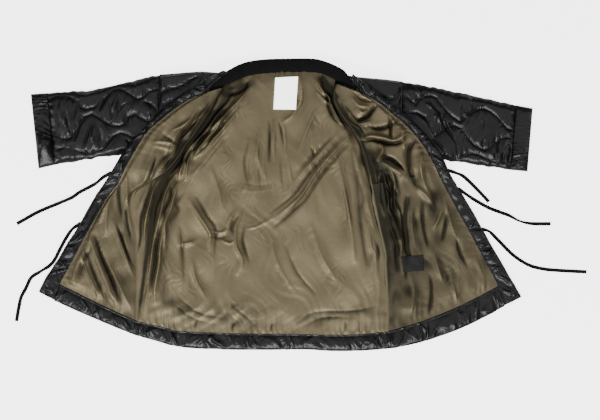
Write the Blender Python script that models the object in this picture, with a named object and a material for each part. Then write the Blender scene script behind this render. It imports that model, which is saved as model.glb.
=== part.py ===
"""A padded coat laid open on its back: glossy quilted shell, satin lining, matte neck band,
puffed facings round the open edge and five tape ties. +X runs along the sleeves, +Y from
the hem to the neck, and the cloth rests on z = 0."""

import math
from collections import namedtuple

import bpy
import numpy as np
from mathutils.bvhtree import BVHTree

# Driving dimensions, in metres.
WALL = 0.008  # shell and wadding together
LINING_CLOTH = 0.0015
GAP = 0.0003  # between two pieces that meet at a seam
SLEEVE_GROOVE_HEIGHT = 0.0155  # flattened sleeve, at the bottom of a quilting groove
QUILT_PUFF = 0.0033  # how far a quilted cell stands above its groove
SLEEVE_SLIT = 0.0012  # between the two layers of a flattened sleeve
FLAP_LIFT = 0.0191  # underside of a turned-out front where it lies over the sleeve
LINING_LOFT = 0.003  # how far the loose lining stands off the padding
FACING_HEIGHT = 0.0085
CUFF_PUFF = 0.004
NECK_BAND_HEIGHT = 0.005
TIE_WIDTH = 0.010
TIE_CLOTH = 0.0014
TIE_GAP = 0.0005  # between a tie's sewn end and the curved edge beside it
ROLL_REACH = 0.008  # how far the lining bulges round a turned-out front's fold
SEAM_SLACK = 0.0045  # between the linings of the back and a front, down in the valley

# Onion quilting: rows of rounded crests and sharp troughs.
WAVE_LENGTH = 0.130
WAVE_DEPTH = 0.047
WAVE_PITCH = 0.067
GROOVE_WIDTH = 0.007

# Shapes.
SHOULDER_HEIGHT = 0.345  # where the fronts' quilting starts, measured from the picture's origin
UNDER_RELIEF = 0.75  # the turned-under layer's quilting, as a share of the sleeves'
FOLD_TURN = 0.002  # how far the fold of a front stands out between its two layers
WRAP_SHARES = ((1.0, 0.0), (0.9, 0.5), (0.35, 1.0))  # the lining's bulge and rise round a fold
FACING_FOOT = 0.3  # a facing's height at its edges, as a share of its full height
FACING_ROUNDNESS = 0.7
CUFF_ROUNDNESS = 0.6
CUFF_HEIGHT_SHARE = 0.9
GATHER_LEVEL = 0.74
GATHER_DEPTH = 0.2
GATHER_VARIATION = 0.06
GATHER_PACE = 1.7
TUBE_FLATNESS = 7
EDGE_FADE = 8
FOLD_END_TAPER = 0.12
SEAM_EASE = 0.0004
HEM_EASE = 0.0006
SHARP_ANGLE = 50  # degrees
RAY_HEIGHT = 1.0
LABEL_REACH = 0.003  # the pitch of the places felt round each point of a label

# Samples taken along each piece.
ROWS_PER_SECTION = 2
FLAP_COLUMNS = 4
UNDER_COLUMNS = 6
LINING_COLUMNS = 6
SLEEVE_RINGS = 36
SLEEVE_COLUMNS = 20
BACK_ROWS = 23
BACK_COLUMNS = 22
HEM_STEPS_BACK = 26
HEM_STEPS_FRONT = 12
TIE_STEP = 0.016
FINE_STEPS = 12
CORNER_SAMPLES = 40
BACK_TOP_SAMPLES = 25
CUFF_RINGS = 8
SLIT_PITCH = 7  # sleeve rings to one ring of the slit inside
FACING_COLUMNS = 4
BAND_COLUMNS = 3
BAND_STEPS = 2
LABEL_ROWS = 9
LABEL_COLUMNS = 7
UNDER_SHARES = (0.97, 0.7, 0.3, 0.03)  # across a sleeve's underside, from its lower edge
SLIT_SHARES = (0.045, 0.35, 0.65, 0.955)

MM = 0.001  # the tables below are in millimetres

# Sections across a front, from the neck to the hem: its inner seam or fold, then the inner
# and outer edge of its facing, how far it is lifted off the surface, and how far the
# section bows towards the hem.
Section = namedtuple("Section", "seam_x seam_y in_x in_y out_x out_y lift bow")
LEFT_FRONT = (
    Section(-143, 345, -143, 355, -156, 359, 19.1, 0),
    Section(-156, 322, -184, 322, -199, 338, 19.1, 0),
    Section(-163, 312, -203, 298, -229, 319, 19.1, 0),
    Section(-186, 271, -232, 287, -259, 301, 19.1, 0),
    Section(-207, 234, -264, 270, -286, 280, 19.1, 0),
    Section(-232, 198, -307, 238, -326, 246, 19.1, 0),
    Section(-261, 158, -356, 196, -374, 198, 19.1, 0),
    Section(-288, 117, -389, 147, -415, 153, 19.1, 0),
    Section(-321, 84, -415, 101, -445, 106, 19.1, 0),
    Section(-361, 58, -437, 58, -470, 66, 9, 0),
    Section(-399, 31, -472, 12, -503, 18, 2, 0),
    Section(-410, -10, -515, -63, -544, -54, 0, 0),
    Section(-400, -66, -537, -104, -573, -99, 0, 0),
    Section(-394, -123, -558, -144, -599, -144, 0, 0),
    Section(-393, -170, -568, -162, -608, -157, 0, 0),
    Section(-393, -218, -577, -180, -617, -171, 0, 1),
    Section(-394, -265, -587, -198, -625, -184, 0, 1),
    Section(-394, -312, -596, -215, -634, -197, 0, 2),
    Section(-396, -350, -613, -257, -654, -236, 0, 2),
)
RIGHT_FRONT = (
    Section(160, 340, 186, 336, 190, 349, 19.1, 0),
    Section(152, 322, 203, 317, 208, 336, 19.1, 0),
    Section(150, 322, 218, 295, 233, 319, 19.1, 0),
    Section(143, 290, 244, 281, 256, 302, 19.1, 0),
    Section(154, 261, 271, 262, 280, 281, 19.1, 0),
    Section(171, 231, 297, 240, 306, 260, 19.1, 0),
    Section(196, 198, 327, 215, 340, 234, 19.1, 0),
    Section(217, 155, 362, 178, 386, 187, 19.1, 0),
    Section(230, 115, 386, 144, 413, 154, 19.1, 0),
    Section(238, 82, 406, 108, 435, 116, 19.1, 0),
    Section(246, 39, 425, 69, 455, 76, 8, 0),
    Section(260, -31, 479, -30, 511, -16, 0, 0),
    Section(270, -78, 505, -76, 539, -66, 0, 0),
    Section(281, -126, 530, -123, 567, -116, 0, 0),
    Section(284, -180, 543, -147, 582, -141, 0, 3),
    Section(287, -233, 556, -171, 596, -165, 0, 6),
    Section(289, -287, 569, -196, 610, -190, 0, 9),
    Section(290, -340, 581, -220, 624, -214, 0, 12),
    Section(295, -386, 600, -272, 645, -250, 0, 17),
)
FIRST_FLAP_SECTION = 2  # above it only the facing's narrow end runs on beside the neck
HEM_SECTION = 17

# The edge of the front's turned-under layer: the shoulder line from the neck, and the end
# of the armhole seam that runs straight from its last point.
Armhole = namedtuple("Armhole", "shoulder end")
LEFT_ARMHOLE = Armhole(((-170, 355), (-221, 358), (-290, 353), (-328, 350)), (-334, 112))
RIGHT_ARMHOLE = Armhole(((186, 346), (224, 342), (280, 337), (326, 331)), (318, 99))
FOLD_END_SECTION = {-1: 8, 1: 9}

# The back: its upper edge from shoulder to shoulder, and its hem.
BACK_TOP = (
    (-328, 350), (-221, 358), (-150, 352), (-100, 376), (-48, 385), (20, 387),
    (82, 388), (109, 382), (141, 368), (180, 348), (265, 338), (326, 331),
)
BACK_HEM = (
    (-396, -350), (-350, -363), (-275, -382), (-161, -389), (-32, -390),
    (65, -389), (134, -393), (218, -392), (295, -386),
)
BACK_HEM_INNER = (
    (-394, -312), (-313, -330), (-275, -339), (-124, -345),
    (28, -347), (180, -349), (290, -340),
)
BACK_LINING_TOP = (
    (-150, 332), (-100, 357), (-48, 366), (20, 370), (85, 370), (112, 363), (145, 338),
)

# The neck band, from its left end: outer and inner edge, and the height it lies at.
NeckRow = namedtuple("NeckRow", "outer_x outer_y inner_x inner_y rest")
NECK_BAND = (
    NeckRow(-196, 314, -191, 303, 19.6),
    NeckRow(-172, 341, -158, 318, 19.4),
    NeckRow(-138, 364, -122, 334, 18.6),
    NeckRow(-100, 382, -92, 346, 12.5),
    NeckRow(-48, 391, -45, 353, 10.2),
    NeckRow(20, 393, 20, 356, 10.2),
    NeckRow(82, 393, 80, 356, 10.2),
    NeckRow(112, 387, 108, 352, 11.5),
    NeckRow(144, 374, 134, 341, 17.5),
    NeckRow(170, 358, 160, 326, 19.4),
    NeckRow(186, 334, 178, 314, 19.6),
    NeckRow(204, 313, 196, 305, 19.6),
)

# Sleeves, from the armhole to the cuff: upper and lower edge.
Edge = namedtuple("Edge", "top low")
LEFT_SLEEVE = Edge(
    ((-328.6, 350), (-364, 343), (-415, 330), (-458, 321), (-512, 308), (-556, 306), (-632, 301)),
    ((-334.6, 113), (-383, 128), (-422, 136), (-450, 131), (-502, 126), (-556, 116), (-612, 107)),
)
RIGHT_SLEEVE = Edge(
    ((326.6, 331), (375, 322.5), (416, 315), (492, 299), (568, 282), (632, 268)),
    ((318.8, 100), (373, 113), (433, 117), (470, 116), (519, 108), (565, 101), (618, 93)),
)
LEFT_CUFF_END = Edge((-676, 298), (-655, 97))
RIGHT_CUFF_END = Edge((676, 260), (662, 89))

# The lining's large folds: three points along each, its half width and its height
# (negative for a trough).
Fold = namedtuple("Fold", "x1 y1 x2 y2 x3 y3 width height")
BACK_FOLDS = (
    Fold(-330, 30, -350, -107, -380, -280, 19, -5),
    Fold(-300, 40, -318, -90, -330, -230, 30, 8),
    Fold(-91, 290, -134, 236, -232, 169, 22, 11),
    Fold(-134, 236, -194, 172, -240, 130, 20, 8),
    Fold(184, 190, 90, 82, -32, -42, 24, 13),
    Fold(-32, -42, -62, -56, -94, -66, 22, 8),
    Fold(65, 26, 45, 4, 28, -18, 16, -4),
    Fold(-248, 12, -199, -66, -195, -120, 20, 10),
    Fold(-105, -20, -124, -63, -105, -150, 19, 8),
    Fold(-275, -252, -226, -290, -161, -305, 18, 7),
    Fold(-134, -271, -101, -298, -70, -328, 16, 6),
    Fold(40, -317, 110, -292, 260, -271, 22, 8),
    Fold(98, 344, 103, 317, 134, 270, 16, 12),
    Fold(54, 334, 50, 280, 5, 222, 16, 7),
    Fold(-32, 222, -33, 172, -34, 122, 19, -3),
    Fold(255, 70, 262, -20, 268, -170, 22, 10),
)
LEFT_FOLDS = (
    Fold(-348, 112, -360, 82, -373, 47, 19, 8),
    Fold(-520, -80, -499, -139, -450, -263, 22, 10),
    Fold(-464, -161, -423, -244, -405, -290, 19, -4),
    Fold(-418, 60, -415, 16, -402, -69, 19, 7),
)
RIGHT_FOLDS = (
    Fold(179, 255, 192, 212, 237, 212, 19, 10),
    Fold(217, 174, 290, 166, 335, 188, 22, 10),
    Fold(357, 174, 346, 134, 345, 77, 19, 8),
    Fold(295, -9, 306, -61, 322, -117, 24, 11),
    Fold(362, 47, 385, 28, 403, 7, 19, 8),
    Fold(270, 93, 285, 50, 300, 12, 19, 10),
    Fold(433, -4, 424, -32, 411, -61, 16, 7),
)

# Ties: the side each is sewn to, and its route, laid out by hand from the facing's edge.
Tie = namedtuple("Tie", "side route")
TIES = {
    "left_upper_tie": Tie(-1, (
        (-457, 86), (-482, 73), (-503, 56), (-544, 34), (-574, 15), (-653, -18), (-715, -52),
    )),
    "left_lower_tie": Tie(-1, (
        (-545, -50), (-564, -66), (-583, -92), (-600, -124), (-613, -149), (-628, -166), (-653, -182),
        (-676, -197), (-690, -225), (-703, -250), (-709, -275), (-716, -315),
    )),
    "right_upper_tie": Tie(1, ((448, 94), (470, 85), (489, 77), (508, 60), (536, 32), (559, 7))),
    "right_middle_tie": Tie(1, (
        (473, 42), (500, 26), (523, 11), (557, -8), (590, -21), (614, -30), (638, -43),
        (662, -50), (686, -52), (726, -52),
    )),
    "right_lower_tie": Tie(1, (
        (540, -66), (560, -73), (583, -95), (624, -136), (666, -163), (707, -174), (749, -178), (823, -182),
    )),
}
TIE_DROP = 0.035  # the run over which a tie comes down to the surface

NECK_LABEL = ((-17, 341), (44, 344), (38, 255), (-22, 256))
CARE_LABEL = ((321, -140), (381, -136), (383, -178), (327, -182))
LABEL_CLOTH = 0.001

SHELL_BLACK = (0.012, 0.012, 0.013)
BAND_BLACK = (0.008, 0.008, 0.008)
LINING_OLIVE = (0.165, 0.135, 0.085)
LABEL_WHITE = (0.8, 0.8, 0.78)


def clear_scene():
    for obj in list(bpy.data.objects):
        bpy.data.objects.remove(obj, do_unlink=True)


def cloth_material(name, colour, roughness):
    material = bpy.data.materials.new(name)
    material.use_nodes = True
    shader = material.node_tree.nodes["Principled BSDF"]
    shader.inputs["Base Color"].default_value = (*colour, 1)
    shader.inputs["Roughness"].default_value = roughness
    shader.inputs["Metallic"].default_value = 0
    return material


def refined(table, steps):
    """The table's rows with steps - 1 more between each two, on a smooth curve."""
    rows = np.array(table, float)
    padded = np.vstack([2 * rows[0] - rows[1], rows, 2 * rows[-1] - rows[-2]])
    out = []
    for before, start, end, after in zip(padded, padded[1:], padded[2:], padded[3:]):
        for t in np.arange(steps) / steps:
            slope = (end - before) * t + (2 * before - 5 * start + 4 * end - after) * t * t
            out.append(0.5 * (2 * start + slope + (3 * start - before - 3 * end + after) * t**3))
    out.append(rows[-1])
    return np.array(out)


def evenly(points, count):
    """A smooth curve through the points, read at equal distances."""
    fine = refined(points, FINE_STEPS)
    along = np.concatenate([[0], np.cumsum(np.linalg.norm(np.diff(fine, axis=0), axis=1))])
    wanted = np.linspace(0, along[-1], count)
    return np.stack([np.interp(wanted, along, column) for column in fine.T], axis=1)


def route_length(points):
    """The length in metres of a route given in millimetres."""
    return sum(math.dist(start, end) for start, end in zip(points, points[1:])) * MM


def smooth_step(t):
    t = min(max(t, 0.0), 1.0)
    return t * t * (3 - 2 * t)


def new_object(name, points, faces, material):
    mesh = bpy.data.meshes.new(name)
    mesh.from_pydata([tuple(p) for p in points], [], faces)
    mesh.materials.append(material)
    mesh.validate()
    mesh.shade_smooth()
    mesh.set_sharp_from_angle(angle=math.radians(SHARP_ANGLE))
    obj = bpy.data.objects.new(name, mesh)
    bpy.context.scene.collection.objects.link(obj)
    return obj


def wall(name, outer, inner, faces, material):
    """A closed wall between two sides that share their faces: outer[i] lies over inner[i].
    The faces turn anticlockwise as seen from the outer side."""
    count = len(outer)
    edges = {(face[i], face[(i + 1) % len(face)]) for face in faces for i in range(len(face))}
    sides = [(b, a, a + count, b + count) for a, b in edges if (b, a) not in edges]
    under = [tuple(i + count for i in reversed(face)) for face in faces]
    points = list(outer) + list(inner)
    return new_object(name, points, list(faces) + under + sorted(sides), material)


def grid_faces(rows, columns):
    return [
        (r * columns + c, (r + 1) * columns + c, (r + 1) * columns + c + 1, r * columns + c + 1)
        for r in range(rows - 1)
        for c in range(columns - 1)
    ]


def grid_wall(name, outer, inner, material):
    """A wall between two grids of points, rows down the coat and columns to the right."""
    faces = grid_faces(*outer.shape[:2])
    return wall(name, outer.reshape(-1, 3), inner.reshape(-1, 3), faces, material)


def grid_normals(grid):
    """The upward normal at each point of a grid."""
    down = np.gradient(grid, axis=0)
    right = np.gradient(grid, axis=1)
    normal = np.cross(down, right)
    return normal / np.linalg.norm(normal, axis=2, keepdims=True)


def raised(flat, height):
    """Points of the plane, in millimetres, at a height in metres."""
    return np.array([flat[0] * MM, flat[1] * MM, height])


def fold_height(x, y, folds):
    """The height that the large folds add to the lining at a point, in metres."""
    total = 0.0
    for fold in folds:
        path = np.array([(fold.x1, fold.y1), (fold.x2, fold.y2), (fold.x3, fold.y3)]) * MM
        best = (math.inf, 0.0)
        for part, (start, end) in enumerate(zip(path, path[1:])):
            run = end - start
            t = float(np.clip(np.dot((x, y) - start, run) / np.dot(run, run), 0, 1))
            best = min(best, (math.dist((x, y), start + t * run), (part + t) / 2))
        distance, along = best
        taper = math.sin(math.pi * (FOLD_END_TAPER + (1 - 2 * FOLD_END_TAPER) * along))
        total += fold.height * MM * taper * math.exp(-((distance / (fold.width * MM)) ** 2))
    return total


def quilt_relief(along, across):
    """How far the quilted cloth stands above its grooves, at a distance along the sleeve
    and down from its upper edge."""
    nearest = WAVE_PITCH
    for row in range(-1, 5):
        phase = math.pi * (along / WAVE_LENGTH + 0.5 * (row % 2))
        groove = row * WAVE_PITCH + WAVE_DEPTH * (1 - abs(math.sin(phase)))
        slope = WAVE_DEPTH * math.pi / WAVE_LENGTH * math.cos(phase)
        nearest = min(nearest, abs(across - groove) / math.hypot(1, slope))
    return QUILT_PUFF * (1 - math.exp(-((nearest / GROOVE_WIDTH) ** 2)))


class Front:
    """One turned-out front. side is -1 for the one at the left of the picture."""

    def __init__(self, side, sections, armhole):
        self.side = side
        self.name = "left" if side < 0 else "right"
        self.rows = refined(sections, ROWS_PER_SECTION)
        self.rows[:, 6] = np.clip(self.rows[:, 6], 0, FLAP_LIFT / MM)
        self.first = FIRST_FLAP_SECTION * ROWS_PER_SECTION
        self.hem = HEM_SECTION * ROWS_PER_SECTION
        self.fold_end = FOLD_END_SECTION[side] * ROWS_PER_SECTION
        self.armhole = armhole
        self.away = np.array([side, 0.0])  # from the seam towards the facing

    def armhole_points(self, count):
        """Points along the shoulder line and down the armhole, one of them on the corner."""
        shoulder = evenly(self.armhole.shoulder, CORNER_SAMPLES)
        corner, end = shoulder[-1], np.array(self.armhole.end, float)
        upper, lower = math.dist(shoulder[0], corner), math.dist(corner, end)
        first = round(upper / (upper + lower) * (count - 1)) + 1
        seam = np.linspace(corner, end, count - first + 1)
        return np.vstack([evenly(self.armhole.shoulder, first), seam[1:]])

    def across(self, row, t):
        """A point of a section in the plane: t is 0 at the seam and 1 at the facing."""
        seam, inner, bow = row[:2], row[2:4], row[7]
        return seam + (inner - seam) * t - np.array([0, 4 * bow * t * (1 - t)])

    def order(self, grid):
        """Columns run to the right, whichever side the front is on."""
        return grid[:, ::-1] if self.side < 0 else grid


def front_shell(front, material):
    """The padded front: turned out from its seam, and above the underarm folded over a
    layer that runs back under it to the shoulder and the armhole."""
    outer, inner, faces = [], [], []
    rows = front.rows[front.first :]
    folded = front.fold_end - front.first + 1
    flap = FLAP_COLUMNS + 2
    armhole = front.armhole_points(folded)
    starts = []
    for number, row in enumerate(rows):
        lift = row[6] * MM
        starts.append(len(outer))
        columns = [row[4:6]] + [front.across(row, t) for t in np.linspace(1, 0, flap - 1)]
        away = front.away
        seam = columns[-1] + away * (GAP / MM)
        columns[-1] = seam
        inside = seam + away * (WALL / MM if number < folded else 0)
        for point in columns[:-1]:
            outer.append(raised(point, lift + WALL))
            inner.append(raised(point, lift))
        outer.append(raised(seam, lift + WALL))
        inner.append(raised(inside, lift))
        if number >= folded:
            continue
        low = WALL + GAP
        outer.append(raised(seam - away * FOLD_TURN / MM, (lift + low + WALL) / 2))
        inner.append(raised(inside, (lift + low + WALL) / 2))
        for t in np.linspace(0, 1, UNDER_COLUMNS):
            point = seam + (armhole[number] - seam) * t
            top = inside + (armhole[number] - inside) * t
            quilting = quilt_relief(top[0] * MM, SHOULDER_HEIGHT - top[1] * MM)
            relief = quilting * smooth_step(UNDER_COLUMNS / 2 * t) * UNDER_RELIEF
            outer.append(raised(point, low))
            inner.append(raised(top, low + WALL + (relief if 0 < t < 1 else 0)))
    for number, (start, following) in enumerate(zip(starts, starts[1:])):
        reach = flap if number >= folded - 1 else flap + 1 + UNDER_COLUMNS
        for c in range(reach - 1):
            face = (start + c, following + c, following + c + 1, start + c + 1)
            faces.append(face if front.side < 0 else face[::-1])
    return wall(f"{front.name}_front_shell", np.array(outer), np.array(inner), faces, material)


def front_lining(front, folds, material):
    """The front's lining: out to the facing, and round the fold down to the back."""
    grid = []
    for number in range(front.first, front.hem + 1):
        row = front.rows[number]
        lift = row[6] * MM
        away = front.away
        rest = WALL + GAP + LINING_CLOTH
        wrap = [
            raised(row[:2] - away * bulge * ROLL_REACH / MM, rest + lift * rise)
            for bulge, rise in WRAP_SHARES
        ]
        line = []
        for t in np.linspace(0, 1, LINING_COLUMNS + 1)[1:]:
            point = front.across(row, t) - (away * GAP / MM if t == 1 else 0)
            x, y = point * MM
            down = (number - front.first) / (front.hem - front.first)
            slack = smooth_step(4 * (1 - t)) * smooth_step(5 * t + 0.2) * smooth_step(8 * (1 - down))
            height = max(0.0, LINING_LOFT * 0.7 + fold_height(x, y, folds)) * slack
            line.append(raised(point, rest + lift + height))
        grid.append(wrap + line)
    outer = front.order(np.array(grid)).copy()
    outer[-1, :, 1] += GAP
    inner = outer - grid_normals(outer) * LINING_CLOTH
    flat_edge = inner[:, :, 2] < WALL + GAP
    inner[flat_edge, 2] = WALL + GAP
    return grid_wall(f"{front.name}_front_lining", outer, inner, material)


def facing_profile(t):
    """The height of a puffed facing across its width, as a share of the full height."""
    return FACING_FOOT + (1 - FACING_FOOT) * math.sin(math.pi * min(max(t, 0), 1)) ** FACING_ROUNDNESS


def pucker(step):
    """Unequal gathers along a stitched edge, as a share of the full height."""
    return GATHER_LEVEL + (-1) ** step * (GATHER_DEPTH + GATHER_VARIATION * math.sin(GATHER_PACE * step))


def puffed_strip(name, edges, rest, material, height=FACING_HEIGHT, columns=FACING_COLUMNS):
    """A puffed facing between two edges in the plane, lying at a height for each row."""
    top, bottom = [], []
    shares = np.linspace(0, 1, columns + 1)
    for step, (out, into, low) in enumerate(zip(*edges, rest)):
        points = [out + (into - out) * t for t in shares]
        bottom.append([raised(p, low) for p in points])
        top.append([
            raised(p, low + height * facing_profile(t) * (pucker(step) if 0 < t < 1 else 1))
            for p, t in zip(points, shares)
        ])
    top, bottom = np.array(top), np.array(bottom)
    down, across = top[1, 0, :2] - top[0, 0, :2], top[0, -1, :2] - top[0, 0, :2]
    if np.cross(down, across) <= 0:
        top, bottom = top[:, ::-1], bottom[:, ::-1]
    return grid_wall(name, top, bottom, material)


def front_facing(front, material):
    rows = front.rows
    rest = rows[:, 6] * MM + WALL + GAP
    edges = rows[:, 4:6], rows[:, 2:4] + front.away * GAP / MM
    puffed_strip(f"{front.name}_front_facing", edges, rest, material)


def front_hem_facing(front, material):
    inner_row, outer_row = front.rows[front.hem], front.rows[-1]
    shares = np.linspace(1, 0, HEM_STEPS_FRONT + 1)
    outer_edge = np.array([front.across(outer_row, t) for t in shares])
    inner_edge = np.array([front.across(inner_row, t) for t in shares])
    for edge in (outer_edge, inner_edge):
        edge[0] -= front.away * SEAM_EASE / MM
        edge[-1] += front.away * SEAM_EASE / MM
    rest = np.full(len(shares), WALL + GAP)
    puffed_strip(f"{front.name}_hem_facing", (outer_edge, inner_edge), rest, material)


def back_hem_facing(material):
    count = HEM_STEPS_BACK + 1
    edges = evenly(BACK_HEM, count), evenly(BACK_HEM_INNER, count)
    puffed_strip("back_hem_facing", edges, np.full(count, WALL + GAP), material)


def back_outline(fronts):
    """The back's edge, anticlockwise: down the left armhole and seam, along the hem, and
    up the right seam and armhole."""
    outline = []
    for front in fronts:
        armhole = [np.array(front.armhole.shoulder[-1]), np.array(front.armhole.end)]
        seam = [row[:2] - front.away * SEAM_EASE / MM for row in front.rows[front.fold_end :]]
        side = armhole + seam
        outline.append(side if front.side < 0 else side[::-1])
    hem = list(evenly(BACK_HEM, HEM_STEPS_BACK + 1)[1:-1])
    top = list(evenly(BACK_TOP, BACK_TOP_SAMPLES)[1:-1])[::-1]
    return outline[0] + hem + outline[1] + top


def slab(name, outline, low, high, material):
    """A flat piece of an outline's shape."""
    count = len(outline)
    points = [raised(p, high) for p in outline] + [raised(p, low) for p in outline]
    sides = [(i, i + count, (i + 1) % count + count, (i + 1) % count) for i in range(count)]
    caps = [tuple(range(count)), tuple(range(2 * count - 1, count - 1, -1))]
    return new_object(name, points, caps + sides, material)


def coons(top, bottom, left, right):
    """A grid of points between four edges."""
    rows, columns = len(left), len(top)
    u = np.linspace(0, 1, columns)[None, :, None]
    v = np.linspace(0, 1, rows)[:, None, None]
    ruled = (1 - v) * top[None] + v * bottom[None] + (1 - u) * left[:, None] + u * right[:, None]
    upper = (1 - u) * top[0] + u * top[-1]
    lower = (1 - u) * bottom[0] + u * bottom[-1]
    return ruled - (1 - v) * upper - v * lower


def back_lining(fronts, material):
    """The back's lining, loose over the padding between the two seams."""
    reach = ROLL_REACH / MM + SEAM_SLACK / MM
    sides = []
    for front, end in zip(fronts, (0, -1)):
        seam = [row[:2] - front.away * reach for row in front.rows[front.first + 1 : front.hem]]
        foot = BACK_HEM_INNER[end] - front.away * reach
        sides.append(evenly([BACK_LINING_TOP[end], *seam, foot], BACK_ROWS + 1))
    bottom = evenly(BACK_HEM_INNER, BACK_COLUMNS + 1) + np.array([0, HEM_EASE / MM])
    bottom[0], bottom[-1] = sides[0][-1], sides[1][-1]
    top = evenly(BACK_LINING_TOP, BACK_COLUMNS + 1)
    flat = coons(top, bottom, sides[0], sides[1])
    outer = np.zeros((BACK_ROWS + 1, BACK_COLUMNS + 1, 3))
    for r in range(BACK_ROWS + 1):
        for c in range(BACK_COLUMNS + 1):
            x, y = flat[r, c] * MM
            edge = min(c, BACK_COLUMNS - c) / 2
            ends = min((r - 1.5) / 2, (BACK_ROWS - r) / 2)
            slack = smooth_step(edge) * smooth_step(ends)
            height = max(0.0, LINING_LOFT + fold_height(x, y, BACK_FOLDS)) * slack
            outer[r, c] = (x, y, WALL + GAP + LINING_CLOTH + height)
    inner = outer - grid_normals(outer) * LINING_CLOTH
    inner[..., 2] = np.maximum(inner[..., 2], WALL + GAP)
    return grid_wall("back_lining", outer, inner, material)


def neck_band(material):
    rows = refined(NECK_BAND, BAND_STEPS)
    edges = rows[:, :2], rows[:, 2:4]
    puffed_strip("neck_band", edges, rows[:, 4] * MM, material, NECK_BAND_HEIGHT, BAND_COLUMNS)


def tube_height(t, height):
    """The upper side of a flattened tube: full over its width, round at both edges."""
    return height * math.sqrt(1 - abs(2 * t - 1) ** TUBE_FLATNESS)


def nearest_share(t):
    """The number of the slit's point that lies nearest to a point across a sleeve."""
    return min(range(len(SLIT_SHARES)), key=lambda k: abs(SLIT_SHARES[k] - t))


def flat_tube(name, tops, lows, top_height, material, side):
    """A tube of padded cloth lying flat: one ring for each pair of edge points. Its inside
    is a plain slit, and its underside rests on the surface."""
    rings, columns = len(tops), SLEEVE_COLUMNS
    shares = np.linspace(0, 1, columns + 1)
    outer, inner = [], []
    for ring in range(rings):
        top, low = tops[ring], lows[ring]
        for t in shares:
            outer.append(raised(top + (low - top) * t, max(WALL, top_height(ring, t))))
        for t in UNDER_SHARES:
            outer.append(raised(top + (low - top) * t, 0.0))
        if ring % SLIT_PITCH == 0:
            for t in SLIT_SHARES:
                inner.append(raised(top + (low - top) * t, WALL + SLEEVE_SLIT))
            for t in reversed(SLIT_SHARES):
                inner.append(raised(top + (low - top) * t, WALL))
    around, inside = columns + 1 + len(UNDER_SHARES), 2 * len(SLIT_SHARES)
    inner_rings = len(inner) // inside
    faces = []
    for ring in range(rings - 1):
        for c in range(around):
            a, b = ring * around + c, ring * around + (c + 1) % around
            faces.append((a, b, b + around, a + around))
    base = rings * around
    for ring in range(inner_rings - 1):
        for c in range(inside):
            a, b = base + ring * inside + c, base + ring * inside + (c + 1) % inside
            faces.append((a, a + inside, b + inside, b))
    # Each end is closed between the outer ring and the slit's coarser one.
    partners = [nearest_share(t) for t in shares]
    partners += [inside - 1 - nearest_share(t) for t in UNDER_SHARES]
    last_ring = ((rings - 1) * around, base + (inner_rings - 1) * inside, False)
    for first_outer, first_inner, reverse in ((0, base, True), last_ring):
        for c in range(around):
            following = (c + 1) % around
            a, b = first_outer + c, first_outer + following
            p, q = first_inner + partners[c], first_inner + partners[following]
            face = (a, b, q, p) if p != q else (a, b, p)
            faces.append(face[::-1] if reverse else face)
    points = outer + inner
    if side < 0:
        faces = [face[::-1] for face in faces]
    return new_object(name, points, faces, material)


def edge_fade(t):
    """Relief dies away towards both edges of a sleeve."""
    return smooth_step(EDGE_FADE * t) * smooth_step(EDGE_FADE * (1 - t))


def sleeve(name, edges, side, material):
    tops, lows = evenly(edges.top, SLEEVE_RINGS), evenly(edges.low, SLEEVE_RINGS)

    def height(ring, t):
        point = tops[ring] + (lows[ring] - tops[ring]) * t
        width = math.dist(tops[ring], lows[ring]) * MM
        relief = quilt_relief(point[0] * MM, width * t) * edge_fade(t)
        return tube_height(t, SLEEVE_GROOVE_HEIGHT) + relief

    flat_tube(name, tops, lows, height, material, side)


def cuff(name, edges, end, side, material):
    """The plain band turned up at the sleeve's end, gathered by its stitching."""
    top_start, low_start = np.array(edges.top[-1]), np.array(edges.low[-1])
    start = GAP / math.dist(np.array(edges.top[-1]) * MM, np.array(end.top) * MM)
    shares = np.linspace(start, 1, CUFF_RINGS)[:, None]
    tops = top_start + (np.array(end.top) - top_start) * shares
    lows = low_start + (np.array(end.low) - low_start) * shares

    def height(ring, t):
        inside = 0 < ring < CUFF_RINGS - 1
        puff = math.sin(math.pi * ring / (CUFF_RINGS - 1)) ** CUFF_ROUNDNESS if inside else 0
        gathered = CUFF_PUFF * puff * pucker(round(t * SLEEVE_COLUMNS)) * edge_fade(t)
        return tube_height(t, SLEEVE_GROOVE_HEIGHT * CUFF_HEIGHT_SHARE) + gathered

    flat_tube(name, tops, lows, height, material, side)


def sewn_edge(front, point):
    """The place on a facing's outer edge nearest to a point: where it is, which way the edge
    runs, and how far the front is lifted there in metres."""
    best = (math.inf,)
    for start, end in zip(front.rows, front.rows[1:]):
        run = end[4:6] - start[4:6]
        t = float(np.clip(np.dot(point - start[4:6], run) / np.dot(run, run), 0, 1))
        foot = start[4:6] + t * run
        distance = math.dist(point, foot)
        if distance < best[0]:
            lift = (start[6] + t * (end[6] - start[6])) * MM
            best = (distance, foot, run / np.linalg.norm(run), lift)
    return best[1:]


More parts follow.
